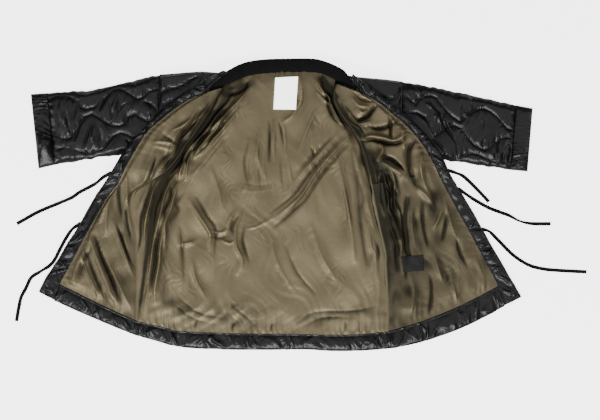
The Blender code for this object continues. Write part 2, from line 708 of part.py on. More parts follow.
def tie(name, fronts, material):
    """A woven tape that leaves the facing's edge and lies along the surface."""
    side, route = TIES[name]
    front = fronts[0] if side < 0 else fronts[1]
    foot, edge_run, lift = sewn_edge(front, np.array(route[0], float))
    away = np.array([-edge_run[1], edge_run[0]])
    away *= side * np.sign(away[0])
    steps = round(route_length(route) / TIE_STEP)
    points = evenly([foot + away * TIE_GAP / MM, *route[1:]], steps + 1)
    along = np.gradient(points, axis=0)
    along /= np.linalg.norm(along, axis=1, keepdims=True)
    sideways = np.stack([along[:, 1], -along[:, 0]], axis=1)
    sewn = edge_run * np.sign(np.dot(edge_run, sideways[0]))
    sideways[0] = sewn / np.dot(sewn, sideways[0])
    start_height = lift + WALL / 2
    run = np.linspace(0, route_length(points), len(points))
    heights = [TIE_CLOTH + start_height * (1 - smooth_step(r / TIE_DROP)) for r in run]
    top = np.array([
        [raised(point + across * TIE_WIDTH / MM * share, height) for share in (-0.5, 0.5)]
        for point, across, height in zip(points, sideways, heights)
    ])
    bottom = top - np.array([0, 0, TIE_CLOTH])
    grid_wall(name, top[:, ::-1], bottom[:, ::-1], material)


def label(name, corners, lining, material):
    """A label that lies on a lining: a small grid made from the lining's points, moved out."""
    lining.data.calc_loop_triangles()
    triangles = [tuple(t.vertices) for t in lining.data.loop_triangles]
    tree = BVHTree.FromPolygons([v.co for v in lining.data.vertices], triangles)
    top_left, top_right, low_right, low_left = (np.array(p) * MM for p in corners)
    around = range(-3, 4)
    near = [np.array((x, y)) * LABEL_REACH for x in around for y in around]
    outer = np.zeros((LABEL_ROWS, LABEL_COLUMNS, 3))
    for r, v in enumerate(np.linspace(0, 1, LABEL_ROWS)):
        for c, u in enumerate(np.linspace(0, 1, LABEL_COLUMNS)):
            upper = (1 - u) * top_left + u * top_right
            lower = (1 - u) * low_left + u * low_right
            flat = (1 - v) * upper + v * lower
            hits = [tree.ray_cast((*(flat + step), RAY_HEIGHT), (0, 0, -1))[0] for step in near]
            rest = max(hit.z for hit in hits if hit)
            outer[r, c] = (*flat, rest + GAP + LABEL_CLOTH)
    inner = outer - np.array([0, 0, LABEL_CLOTH])
    grid_wall(name, outer, inner, material)


def build():
    clear_scene()
    shell = cloth_material("black_nylon_shell", SHELL_BLACK, 0.32)
    lining = cloth_material("olive_satin_lining", LINING_OLIVE, 0.4)
    matte = cloth_material("matte_black_tape", BAND_BLACK, 0.9)
    white = cloth_material("white_label", LABEL_WHITE, 0.7)
    fronts = (Front(-1, LEFT_FRONT, LEFT_ARMHOLE), Front(1, RIGHT_FRONT, RIGHT_ARMHOLE))
    slab("back_shell", back_outline(fronts), 0.0, WALL, shell)
    linings = {"back": back_lining(fronts, lining)}
    for front, folds in zip(fronts, (LEFT_FOLDS, RIGHT_FOLDS)):
        front_shell(front, shell)
        linings[front.name] = front_lining(front, folds, lining)
        front_facing(front, shell)
        front_hem_facing(front, shell)
    back_hem_facing(shell)
    neck_band(matte)
    sleeve("left_sleeve", LEFT_SLEEVE, -1, shell)
    sleeve("right_sleeve", RIGHT_SLEEVE, 1, shell)
    cuff("left_cuff", LEFT_SLEEVE, LEFT_CUFF_END, -1, shell)
    cuff("right_cuff", RIGHT_SLEEVE, RIGHT_CUFF_END, 1, shell)
    for name in TIES:
        tie(name, fronts, matte)
    label("neck_label", NECK_LABEL, linings["back"], white)
    label("care_label", CARE_LABEL, linings["right"], matte)


build()
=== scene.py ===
import math
from collections import namedtuple

import bpy
import numpy as np
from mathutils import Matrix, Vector


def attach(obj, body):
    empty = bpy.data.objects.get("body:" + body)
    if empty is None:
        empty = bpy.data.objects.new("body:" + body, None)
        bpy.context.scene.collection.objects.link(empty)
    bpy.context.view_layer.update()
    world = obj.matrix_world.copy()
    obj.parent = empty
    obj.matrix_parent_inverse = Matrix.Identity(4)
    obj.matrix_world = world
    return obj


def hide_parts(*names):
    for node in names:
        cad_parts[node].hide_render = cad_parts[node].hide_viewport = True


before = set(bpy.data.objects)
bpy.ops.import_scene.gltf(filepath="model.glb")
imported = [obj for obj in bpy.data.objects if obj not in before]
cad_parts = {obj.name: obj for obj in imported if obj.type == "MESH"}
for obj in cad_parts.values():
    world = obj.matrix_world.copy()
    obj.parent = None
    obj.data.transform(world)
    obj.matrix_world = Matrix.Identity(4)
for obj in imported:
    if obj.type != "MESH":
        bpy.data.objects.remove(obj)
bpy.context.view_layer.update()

MM = 0.001  # the tables below are in millimetres

# Sizes shared with the solids, in metres.
WALL = 0.008
GAP = 0.0003
LINING_CLOTH = 0.0015
FLAP_LIFT = 0.0191
TIE_WIDTH = 0.010
TIE_CLOTH = 0.0014
TIE_DROP = 0.035
ROLL_REACH = 0.008
SEAM_SLACK = 0.0045

# Sizes of what is only dressed here.
SLEEVE_GROOVE_HEIGHT = 0.0130  # flattened sleeve, down in a quilting groove
QUILT_PUFF = 0.0088
LINING_LOFT = 0.0060
LINING_RISE = 0.018  # the most that a fold can stand up
FOLD_GAIN = {-1: 1.5, 0: 1.1, 1: 1.7}  # for the left front, the back and the right front
STRAND_GAIN = 1.45
FRONT_CREASE_ANGLE = {-1: 78, 1: 105}
FOLD_SPREAD = 0.66
FACING_HEIGHT = 0.0095
SEAM_LAP = 0.0015  # how far one piece runs under the next at a seam
CLEARANCE = 0.0004  # how far a finer piece stays off what it lies on
LINING_LAP = 7  # how far the back lining runs under a front's fold, in millimetres
CUFF_LENGTH = 44  # millimetres
LINING_LENGTH = 690  # from the neck to the hem, in millimetres
FRONT_PUCKER_LENGTH = 300  # how far the hem's puckers are told from the hem, in millimetres
FACING_STITCH_IN = 0.006  # the stitched line's distance from the facing's inner edge
STITCH_LENGTH = 0.0032
STITCH_PITCH = 0.0046
STITCH_WIDTH = 0.0009
STITCH_RISE = 0.0002
STITCH_FACES = ((0, 1, 4), (1, 3, 4), (3, 2, 4), (2, 0, 4), (1, 0, 5), (3, 1, 5), (2, 3, 5), (0, 2, 5))
NECK_STITCHES = (0.10, 0.88)  # shares of the neck band's width
CUFF_STITCH_IN = 0.003
LABEL_STITCH_SHARE = 0.94
LABEL_THICKNESS = 0.0006

# How finely the pieces are divided.
SECTION_STEPS = 16  # rows of a front from one section to the next
LINING_ROWS = 312
LINING_COLUMNS = 312
FRONT_LINING_COLUMNS = 150
SHOULDER_COLUMNS = 110
FACING_COLUMNS = 26
LINING_ROLL_POINTS = 9  # round a front's fold
FACING_ROLL_POINTS = 8  # round a facing's outer edge
BACK_EDGE_POINTS = 60
HEM_ROWS = 420
FRONT_HEM_ROWS = 150
NECK_COLUMNS = 22
SLEEVE_RINGS = 200
CUFF_RINGS = 50
TUBE_COLUMNS = 130
TUBE_UNDER_COLUMNS = 24
TIE_POINTS = 240

# A tape's section: shares of half its width, and of half its thickness towards either face.
TAPE_SECTION = (
    (-1, 0), (-0.96, 1), (-0.5, 0.85), (0, 1), (0.5, 0.85), (0.96, 1), (1, 0),
    (0.96, -1), (0, -1), (-0.96, -1), (-1, 0),
)

PHOTO_WIDTH = 600  # pixels
PHOTO_SCALE = 2.7 * MM  # metres to a pixel
VIEW_CENTRE = (0.0493, -0.0149)
CAMERA_HEIGHT = 4.2
SENSOR = 36.0  # the camera's sensor, in millimetres
WORLD_LOW = 0.06  # the studio's brightness near the horizon
WORLD_TOP = 1.0  # and overhead
FLOOR_HALF = 6.0  # half its width
FLOOR_GLOW = 3.6  # seen by the camera, as the photo's background is blown out
FLOOR_BOUNCE = 0.3  # what the floor gives back to the coat
LABEL_PAINTED_GLOW = 3.0  # painted light: a glow that makes the white label brighter than its cloth is under the lamps

SEED = 11
CREASE_LEVEL = 0.45  # the creases' noise where they leave the cloth at its own height
HEM_CREASE_LEVEL = 0.42

# The lining's painted shade, which darkens its colour, from 0 in the open to 1 where no light gets in.
HOLLOW_STEPS = 60  # how far round a point its surroundings are taken
HOLLOW_DEPTH = 0.0060  # how far below its surroundings a point is fully shaded
VALLEY_REACH = 32.0  # millimetres
LEAST_REACH = 4  # millimetres
VALLEY_SHADE = 0.40
FRONT_SHADE = {-1: 0.30, 1: 0.60}  # for the left and the right front, towards the hem
HEM_SHADE = 0.46
NECK_SHADE = 0.22
DARKEST = 0.95

Light = namedtuple("Light", "name place size power")
LIGHTS = (
    Light("low_softbox", (-0.4, -2.5, 2.15), (3.0, 0.9), 118),
    Light("left_softbox", (-2.9, -0.3, 1.5), (0.6, 1.0), 16),
    Light("right_softbox", (2.9, 0.9, 1.7), (0.6, 1.0), 10),
)

# Sections across a front, from the neck to the hem: its inner seam or fold, the inner and
# outer edge of its facing, its lift off the surface and how far it bows towards the hem.
Section = namedtuple("Section", "seam_x seam_y in_x in_y out_x out_y lift bow")
SEAM, INNER, OUTER, LIFT, BOW = slice(0, 2), slice(2, 4), slice(4, 6), 6, 7
LEFT_FRONT = (
    Section(-143, 345, -143, 355, -156, 359, 19.1, 0),
    Section(-156, 322, -184, 322, -199, 338, 19.1, 0),
    Section(-163, 312, -203, 298, -229, 319, 19.1, 0),
    Section(-186, 271, -232, 287, -259, 301, 19.1, 0),
    Section(-207, 234, -264, 270, -286, 280, 19.1, 0),
    Section(-232, 198, -307, 238, -326, 246, 19.1, 0),
    Section(-261, 158, -356, 196, -374, 198, 19.1, 0),
    Section(-288, 117, -389, 147, -415, 153, 19.1, 0),
    Section(-321, 84, -415, 101, -445, 106, 19.1, 0),
    Section(-361, 58, -437, 58, -470, 66, 9, 0),
    Section(-399, 31, -472, 12, -503, 18, 2, 0),
    Section(-410, -10, -515, -63, -544, -54, 0, 0),
    Section(-400, -66, -537, -104, -573, -99, 0, 0),
    Section(-394, -123, -558, -144, -599, -144, 0, 0),
    Section(-393, -170, -568, -162, -608, -157, 0, 0),
    Section(-393, -218, -577, -180, -617, -171, 0, 1),
    Section(-394, -265, -587, -198, -625, -184, 0, 1),
    Section(-394, -312, -596, -215, -634, -197, 0, 2),
    Section(-396, -350, -613, -257, -654, -236, 0, 2),
)
RIGHT_FRONT = (
    Section(160, 340, 186, 336, 190, 349, 19.1, 0),
    Section(152, 322, 203, 317, 208, 336, 19.1, 0),
    Section(150, 322, 218, 295, 233, 319, 19.1, 0),
    Section(143, 290, 244, 281, 256, 302, 19.1, 0),
    Section(154, 261, 271, 262, 280, 281, 19.1, 0),
    Section(171, 231, 297, 240, 306, 260, 19.1, 0),
    Section(196, 198, 327, 215, 340, 234, 19.1, 0),
    Section(217, 155, 362, 178, 386, 187, 19.1, 0),
    Section(230, 115, 386, 144, 413, 154, 19.1, 0),
    Section(238, 82, 406, 108, 435, 116, 19.1, 0),
    Section(246, 39, 425, 69, 455, 76, 8, 0),
    Section(260, -31, 479, -30, 511, -16, 0, 0),
    Section(270, -78, 505, -76, 539, -66, 0, 0),
    Section(281, -126, 530, -123, 567, -116, 0, 0),
    Section(284, -180, 543, -147, 582, -141, 0, 3),
    Section(287, -233, 556, -171, 596, -165, 0, 6),
    Section(289, -287, 569, -196, 610, -190, 0, 9),
    Section(290, -340, 581, -220, 624, -214, 0, 12),
    Section(295, -386, 600, -272, 645, -250, 0, 17),
)
FIRST_FLAP_SECTION = 2  # from here on the front lies turned out
HEM_SECTION = 17  # where the hem's facing begins

# The shoulder line of the front's lower layer, and the far end of its armhole seam.
Armhole = namedtuple("Armhole", "shoulder end")
LEFT_ARMHOLE = Armhole(((-170, 355), (-221, 358), (-290, 353), (-328, 350)), (-334, 112))
RIGHT_ARMHOLE = Armhole(((186, 346), (224, 342), (280, 337), (326, 331)), (318, 99))
FOLD_END_SECTION = {-1: 8, 1: 9}  # where that layer ends and the side seam goes on

# The edges of the back and of its lining.
BACK_TOP = (
    (-328, 350), (-221, 358), (-150, 352), (-100, 376), (-48, 385), (20, 387),
    (82, 388), (109, 382), (141, 368), (180, 348), (265, 338), (326, 331),
)
BACK_HEM = (
    (-396, -350), (-350, -363), (-275, -382), (-161, -389), (-32, -390),
    (65, -389), (134, -393), (218, -392), (295, -386),
)
BACK_HEM_INNER = (
    (-394, -312), (-313, -330), (-275, -339), (-124, -345),
    (28, -347), (180, -349), (290, -340),
)
BACK_LINING_TOP = ((-150, 332), (-100, 357), (-48, 366), (20, 370), (85, 370), (112, 363), (145, 338))

# Sections across the neck band: its outer and inner edge, and the height that it rests at.
NeckRow = namedtuple("NeckRow", "outer_x outer_y inner_x inner_y rest")
NECK_OUTER, NECK_INNER, NECK_REST = slice(0, 2), slice(2, 4), 4
NECK_BAND = (
    NeckRow(-196, 314, -191, 303, 19.6),
    NeckRow(-172, 341, -158, 318, 19.4),
    NeckRow(-138, 364, -122, 334, 18.6),
    NeckRow(-100, 382, -92, 346, 12.5),
    NeckRow(-48, 391, -45, 353, 10.2),
    NeckRow(20, 393, 20, 356, 10.2),
    NeckRow(82, 393, 80, 356, 10.2),
    NeckRow(112, 387, 108, 352, 11.5),
    NeckRow(144, 374, 134, 341, 17.5),
    NeckRow(170, 358, 160, 326, 19.4),
    NeckRow(186, 334, 178, 314, 19.6),
    NeckRow(204, 313, 196, 305, 19.6),
)

# The sleeves' upper and lower edge, from the armhole to the cuff.
Edge = namedtuple("Edge", "top low")
LEFT_SLEEVE = Edge(
    ((-328.6, 350), (-364, 343), (-415, 330), (-458, 321), (-512, 308), (-556, 306), (-632, 301)),
    ((-334.6, 113), (-383, 128), (-422, 136), (-450, 131), (-502, 126), (-556, 116), (-612, 107)),
)
RIGHT_SLEEVE = Edge(
    ((326.6, 331), (375, 322.5), (416, 315), (492, 299), (568, 282), (632, 268)),
    ((318.8, 100), (373, 113), (433, 117), (470, 116), (519, 108), (565, 101), (618, 93)),
)
# The cuffs' gathers and the bulge where the wadding is pushed together: shares of the way down
# the cuff, and the bulge's height in metres.
CuffForm = namedtuple("CuffForm", "gathers bulge rise")
CUFFS = {-1: CuffForm(0.30, 0.70, 0.0165), 1: CuffForm(0.85, 0.80, 0.0055)}
LEFT_CUFF_END = Edge((-676, 298), (-655, 97))
RIGHT_CUFF_END = Edge((676, 260), (662, 89))

# Each tie's front and its route, from the facing's edge to its cut end.
Tie = namedtuple("Tie", "side route")
TIES = {
    "left_upper_tie": Tie(-1, (
        (-457, 86), (-482, 73), (-503, 56), (-544, 34), (-574, 15), (-653, -18), (-715, -52),
    )),
    "left_lower_tie": Tie(-1, (
        (-545, -50), (-564, -66), (-583, -92), (-600, -124), (-613, -149), (-628, -166), (-653, -182),
        (-676, -197), (-690, -225), (-703, -250), (-709, -275), (-716, -315),
    )),
    "right_upper_tie": Tie(1, ((448, 94), (470, 85), (489, 77), (508, 60), (536, 32), (559, 7))),
    "right_middle_tie": Tie(1, (
        (473, 42), (500, 26), (523, 11), (557, -8), (590, -21), (614, -30), (638, -43),
        (662, -50), (686, -52), (726, -52),
    )),
    "right_lower_tie": Tie(1, (
        (540, -66), (560, -73), (583, -95), (624, -136), (666, -163), (707, -174), (749, -178), (823, -182),
    )),
}
# Where a tie turns on edge: the distance from its start, how far it turns, and over what run.
Twist = namedtuple("Twist", "at turn run")
TWISTS = {
    "left_upper_tie": (Twist(0.045, 45, 0.014), Twist(0.150, 35, 0.020)),
    "left_lower_tie": (Twist(0.030, 40, 0.014), Twist(0.168, 48, 0.015), Twist(0.262, 30, 0.018)),
    "right_upper_tie": (Twist(0.030, 40, 0.012), Twist(0.120, 15, 0.020)),
    "right_middle_tie": (Twist(0.030, 35, 0.014), Twist(0.190, 58, 0.034)),
    "right_lower_tie": (Twist(0.020, 45, 0.014), Twist(0.150, 20, 0.022)),
}

# The labels' corners, clockwise from the upper left one.
NECK_LABEL = ((-17, 341), (44, 344), (38, 255), (-22, 256))
CARE_LABEL = ((321, -140), (381, -136), (383, -178), (327, -182))

# The lining's folds: their course, half width and height (negative for a valley).
Fold = namedtuple("Fold", "width height course")
BACK_FOLDS = (
    Fold(22, 11, ((-290, 60), (-306, 0), (-318, -60), (-326, -120), (-338, -230))),
    Fold(14, 12, ((-84, 316), (-112, 282), (-143, 250), (-182, 211), (-218, 182), (-238, 163))),
    Fold(12, -11, ((-88, 336), (-106, 312), (-130, 300), (-158, 300))),
    Fold(11, 9, ((-112, 258), (-140, 225), (-205, 150), (-234, 126))),
    Fold(12, 12, ((-255, 155), (-262, 130), (-267, 107), (-277, 72))),
    Fold(8, 8, ((-216, 182), (-240, 150), (-252, 112), (-258, 70))),
    Fold(14, 5, ((-134, 212), (-176, 150), (-204, 118), (-240, 80))),
    Fold(9, -5, ((-150, 180), (-192, 130), (-220, 95))),
    Fold(9, 6, ((190, 192), (141, 142), (90, 82), (49, 20), (-10, -30))),
    Fold(7, -4, ((196, 178), (150, 130), (104, 74), (64, 14), (30, -16))),
    Fold(7, -4, ((172, 194), (122, 138), (74, 82), (30, 26), (-30, -22))),
    Fold(8, 3, ((150, 190), (100, 132), (56, 86), (14, 34))),
    Fold(9, -4, ((130, 180), (84, 132), (42, 88))),
    Fold(9, 3, ((-20, -34), (-60, -56), (-94, -66))),
    Fold(14, -5, ((65, 26), (28, -18), (-20, -60))),
    Fold(14, 8, ((-248, 12), (-222, -30), (-199, -66), (-192, -84), (-195, -120))),
    Fold(10, -5, ((-228, 20), (-200, -30), (-178, -66), (-180, -130))),
    Fold(9, 5, ((-126, -17), (-142, -45), (-150, -66))),
    Fold(7, -4, ((-118, -30), (-134, -58), (-128, -84))),
    Fold(7, 4, ((-190, -70), (-168, -76), (-150, -70), (-136, -52))),
    Fold(6, -3, ((-196, -84), (-170, -90), (-148, -84))),
    Fold(6, 3, ((-160, -96), (-140, -104), (-126, -98))),
    Fold(12, 7, ((-105, -20), (-124, -63), (-122, -112), (-105, -150), (-119, -185))),
    Fold(9, -5, ((-96, -50), (-104, -100), (-88, -150))),
    Fold(12, 6, ((-275, -108), (-250, -104), (-228, -96))),
    Fold(9, -2, ((-275, -252), (-226, -290), (-161, -305))),
    Fold(9, -2, ((-284, -272), (-236, -308), (-180, -322))),
    Fold(9, -2, ((-134, -271), (-101, -298), (-70, -328))),
    Fold(9, -2, ((40, -317), (90, -290), (198, -286), (260, -271))),
    Fold(10, -2, ((60, -330), (110, -306), (190, -304))),
    Fold(14, 11, ((98, 344), (103, 317), (120, 295), (144, 277))),
    Fold(8, 6, ((96, 301), (120, 277), (149, 258))),
    Fold(8, -8, ((112, 338), (116, 316), (134, 292))),
    Fold(12, 7, ((54, 334), (54, 282), (34, 247), (5, 222))),
    Fold(9, -5, ((44, 300), (40, 262), (18, 236))),
    Fold(8, -7, ((-33, 224), (-32, 180), (-34, 120))),
    Fold(7, 4, ((-22, 222), (-20, 176), (-20, 120))),
    Fold(7, -5, ((-6, 222), (0, 192), (4, 166))),
    Fold(6, 3, ((6, 214), (10, 180), (12, 130))),
    Fold(6, -2, ((-58, 150), (-62, 96), (-56, 40))),
    Fold(6, -2, ((-84, 150), (-90, 100), (-84, 56))),
    Fold(6, 2, ((-46, 146), (-48, 100), (-40, 60))),
    Fold(6, 2, ((-72, 140), (-76, 96), (-72, 52))),
    Fold(6, -2, ((-4, 130), (0, 80), (6, 40))),
    Fold(6, 2, ((18, 120), (24, 80), (28, 52))),
    Fold(9, -1, ((-110, 60), (-60, 50), (-20, 58))),
    Fold(9, 1, ((-120, 44), (-70, 36), (-24, 42))),
    Fold(8, -5, ((80, 155), (84, 143), (86, 130))),
    Fold(20, 9, ((150, 120), (170, 30), (185, -60), (196, -150))),
    Fold(13, -6, ((190, 140), (206, 40), (214, -60), (230, -160))),
    Fold(13, -12, ((112, 345), (124, 322), (140, 300), (150, 286))),
    Fold(18, 9, ((232, 90), (240, 10), (252, -90), (258, -200))),
    Fold(8, -4, ((-234, -345), (-232, -322), (-226, -304))),
    Fold(8, -4, ((-134, -348), (-132, -330), (-124, -316))),
    Fold(8, -4, ((-30, -348), (-28, -330), (-24, -318))),
    Fold(8, -4, ((168, -348), (172, -330), (170, -312))),
    Fold(10, 4, ((-30, -90), (-10, -160), (30, -230))),
    Fold(12, -4, ((10, -110), (40, -180), (90, -240))),
    Fold(16, 6, ((80, -60), (108, -140), (150, -210))),
    Fold(15, 6, ((-240, -150), (-232, -200), (-205, -250))),
    Fold(11, -5, ((-270, -60), (-266, -130), (-262, -200))),
    Fold(12, 5, ((-60, 200), (-66, 140), (-50, 80))),
    Fold(11, -4, ((-90, 180), (-100, 110), (-86, 40))),
    Fold(14, 5, ((-190, 100), (-170, 40), (-160, -10))),
    Fold(12, 5, ((90, 250), (64, 190), (50, 150))),
)
LEFT_FOLDS = (
    Fold(17, -9, ((-205, 252), (-236, 216), (-262, 186), (-280, 150))),
    Fold(8, 4, ((-340, 170), (-316, 168), (-289, 163))),
    Fold(8, -3, ((-344, 164), (-318, 161), (-290, 156))),
    Fold(8, 2, ((-344, 158), (-322, 154), (-296, 146))),
    Fold(16, 6, ((-348, 115), (-360, 82), (-373, 47))),
    Fold(9, -5, ((-336, 128), (-346, 96), (-356, 66))),
    Fold(14, 3, ((-348, 165), (-322, 162), (-296, 157))),
    Fold(18, 9, ((-520, -80), (-509, -110), (-499, -139), (-474, -200), (-450, -263))),
    Fold(11, -6, ((-500, -90), (-484, -140), (-458, -200), (-436, -262))),
    Fold(15, 7, ((-464, -161), (-443, -205), (-423, -244), (-399, -296))),
    Fold(12, 6, ((-418, 88), (-416, 60), (-415, 36), (-410, -16), (-402, -69))),
    Fold(10, -5, ((-436, 70), (-438, 20), (-430, -40))),
    Fold(14, 6, ((-458, 30), (-470, -20), (-474, -80))),
    Fold(12, -5, ((-510, -110), (-530, -150), (-545, -195))),
    Fold(12, 5, ((-545, -140), (-556, -170), (-560, -205))),
    Fold(12, 6, ((-453, -45), (-430, -110), (-397, -196))),
    Fold(9, -5, ((-440, -60), (-420, -120), (-400, -170))),
    Fold(9, -6, ((-420, -15), (-414, -60), (-404, -100))),
    Fold(10, 5, ((-470, 20), (-480, -20), (-490, -50))),
    Fold(9, 4, ((-545, -120), (-520, -190), (-490, -250))),
    Fold(9, -4, ((-530, -120), (-500, -200), (-470, -262))),
    Fold(10, 4, ((-290, 200), (-262, 214), (-226, 240))),
    Fold(9, -4, ((-320, 188), (-300, 176), (-280, 160))),
)
RIGHT_FOLDS = (
    Fold(12, 9, ((176, 250), (182, 228), (206, 215), (237, 221))),
    Fold(9, -7, ((203, 224), (230, 236), (254, 267))),
    Fold(15, 8, ((200, 262), (214, 246), (232, 250))),
    Fold(12, 10, ((210, 173), (237, 183), (273, 178), (302, 171), (335, 188))),
    Fold(8, -8, ((217, 168), (242, 173), (280, 164), (316, 166), (338, 186))),
    Fold(8, -6, ((289, 235), (292, 210), (291, 180))),
    Fold(8, 5, ((298, 240), (300, 212), (300, 178))),
    Fold(11, 9, ((261, 166), (271, 149), (262, 130), (254, 117))),
    Fold(9, -7, ((282, 128), (300, 118), (330, 92))),
    Fold(14, 8, ((250, 120), (283, 106), (326, 77))),
    Fold(14, -11, ((360, 173), (345, 154), (341, 130), (345, 91), (362, 48))),
    Fold(12, 7, ((384, 150), (372, 118), (378, 70), (396, 30))),
    Fold(17, 10, ((295, -9), (300, -40), (306, -61), (314, -90), (322, -117))),
    Fold(10, -6, ((318, -6), (328, -50), (340, -100))),
    Fold(14, 8, ((362, 47), (385, 28), (403, 7))),
    Fold(13, 9, ((260, 93), (278, 60), (298, 12))),
    Fold(8, -7, ((270, 74), (284, 44), (296, 20))),
    Fold(8, 6, ((282, 92), (300, 62), (312, 34))),
    Fold(12, 7, ((433, -4), (424, -32), (411, -61))),
    Fold(9, -4, ((446, -20), (440, -60), (432, -96))),
    Fold(15, 6, ((400, -110), (414, -150), (430, -200))),
    Fold(12, -5, ((470, -90), (480, -130), (500, -170))),
    Fold(13, 5, ((350, -190), (356, -240), (350, -290))),
    Fold(11, 5, ((520, -130), (530, -160), (545, -195))),
    Fold(12, 5, ((330, 220), (322, 190), (330, 150))),
    Fold(9, -5, ((196, 300), (214, 282), (244, 276))),
    Fold(10, 5, ((190, 286), (206, 266), (232, 262))),
    Fold(9, -6, ((236, 208), (262, 204), (290, 212), (312, 226))),
    Fold(10, -6, ((340, 20), (332, -40), (338, -110), (352, -160))),
    Fold(12, 6, ((352, 10), (350, -50), (360, -110))),
    Fold(9, -5, ((380, 10), (380, -50), (392, -110))),
    Fold(10, 4, ((440, 20), (452, -40), (470, -90))),
    Fold(10, -4, ((400, -190), (404, -240), (396, -300))),
    Fold(10, 4, ((450, -170), (462, -220), (474, -270))),
)

# The two deep valleys beside the turned-out fronts, at the left (-1) and the right (1).
VALLEYS = {-1: (
    (-140, 318), (-150, 290), (-183, 250), (-221, 200), (-258, 158), (-280, 123), (-314, 74), (-337, 12),
    (-350, -47), (-358, -107), (-367, -161), (-375, -225), (-388, -312),
), 1: (
    (138, 320), (140, 301), (149, 266), (171, 228), (197, 203), (213, 174), (221, 142), (232, 107),
    (241, 80), (248, 39), (256, -20), (273, -74), (284, -126), (284, -177), (278, -240), (272, -330),
)}
# Where the cloth is folded under itself and no light gets in.
Pit = namedtuple("Pit", "width depth course")
PITS = (
    Pit(22, 0.75, ((-178, 246), (-214, 206), (-240, 184))),
    Pit(14, 0.85, ((-262, 156), (-276, 122), (-290, 100))),
    Pit(10, 0.60, ((-290, 100), (-322, 62), (-338, 20))),
    Pit(15, 0.75, ((-96, 316), (-124, 304), (-150, 300))),
    Pit(13, 0.75, ((112, 338), (124, 318), (142, 292))),
    Pit(12, 0.65, ((150, 262), (172, 230), (196, 206))),
    Pit(18, 0.70, ((222, 132), (240, 92), (252, 52), (262, 20))),
    Pit(17, 0.60, ((262, 108), (280, 70), (292, 30))),
    Pit(10, 0.50, ((296, 20), (306, -40), (316, -90))),
    Pit(15, 0.34, ((-300, -262), (-262, -286), (-206, -298), (-150, -306))),
    Pit(13, 0.30, ((-128, -272), (-100, -292), (-70, -314))),
    Pit(14, 0.34, ((46, -310), (84, -302), (140, -302), (196, -290))),
    Pit(12, 0.40, ((-312, -205), (-318, -236), (-320, -262))),
    Pit(12, 0.32, ((214, -272), (228, -292), (244, -304))),
)
# Strands of cloth along the valleys: how far aside (positive towards the coat's middle), half
# width, height, and the shares of the valley's length between which each one runs.
Strand = namedtuple("Strand", "aside width height start end")
BACK_STRANDS = {
    -1: (
        Strand(2, 24, -10, 0.00, 0.50), Strand(0, 15, -8, 0.34, 0.80), Strand(0, 10, -5, 0.70, 1.00),
        Strand(14, 9, 7, 0.02, 0.20), Strand(11, 8, 7, 0.16, 0.42), Strand(22, 8, -8, 0.10, 0.34),
        Strand(32, 9, 6, 0.08, 0.30), Strand(40, 8, -5, 0.12, 0.26), Strand(19, 9, 8, 0.40, 0.66),
        Strand(31, 11, -8, 0.42, 0.60), Strand(42, 10, 6, 0.44, 0.72), Strand(13, 8, 6, 0.60, 0.84),
        Strand(24, 9, -6, 0.62, 0.88), Strand(36, 10, 5, 0.66, 0.92), Strand(14, 8, 5, 0.84, 1.00),
        Strand(-15, 10, 8, 0.44, 0.70), Strand(-26, 9, -7, 0.46, 0.74), Strand(-12, 8, 6, 0.68, 0.90),
        Strand(-38, 9, 5, 0.52, 0.80), Strand(58, 10, -3, 0.46, 0.60),
    ),
    1: (
        Strand(2, 20, -11, 0.00, 0.34), Strand(2, 24, -13, 0.24, 0.66), Strand(0, 12, -5, 0.60, 0.84),
        Strand(13, 8, 7, 0.02, 0.16), Strand(22, 8, -7, 0.00, 0.14), Strand(12, 8, 6, 0.26, 0.46),
        Strand(18, 9, 4, 0.42, 0.62), Strand(34, 11, -3, 0.36, 0.56), Strand(14, 9, 5, 0.60, 0.76),
        Strand(24, 9, -5, 0.58, 0.74), Strand(38, 10, 4, 0.60, 0.78), Strand(16, 10, 2, 0.78, 0.98),
    ),
}
FRONT_STRANDS = {
    -1: (
        Strand(0, 26, -13, 0.00, 0.50), Strand(-18, 9, 7, 0.06, 0.24), Strand(-26, 9, -6, 0.10, 0.32),
        Strand(-17, 8, 6, 0.22, 0.42), Strand(-36, 11, 4, 0.14, 0.30), Strand(-30, 9, -4, 0.32, 0.48),
    ),
    1: (
        Strand(0, 24, -13, 0.00, 0.40), Strand(-4, 30, -13, 0.34, 0.66), Strand(-16, 8, 6, 0.08, 0.22),
        Strand(-15, 7, 8, 0.40, 0.56), Strand(-24, 8, -9, 0.38, 0.60), Strand(-33, 7, 8, 0.40, 0.58),
        Strand(-43, 8, -8, 0.40, 0.60), Strand(-54, 9, 7, 0.38, 0.62), Strand(-14, 12, 5, 0.62, 0.78),
        Strand(-26, 12, -5, 0.60, 0.76), Strand(-40, 13, 5, 0.60, 0.78), Strand(-16, 10, 3, 0.80, 0.96),
        Strand(-54, 13, -4, 0.62, 0.80),
    ),
}

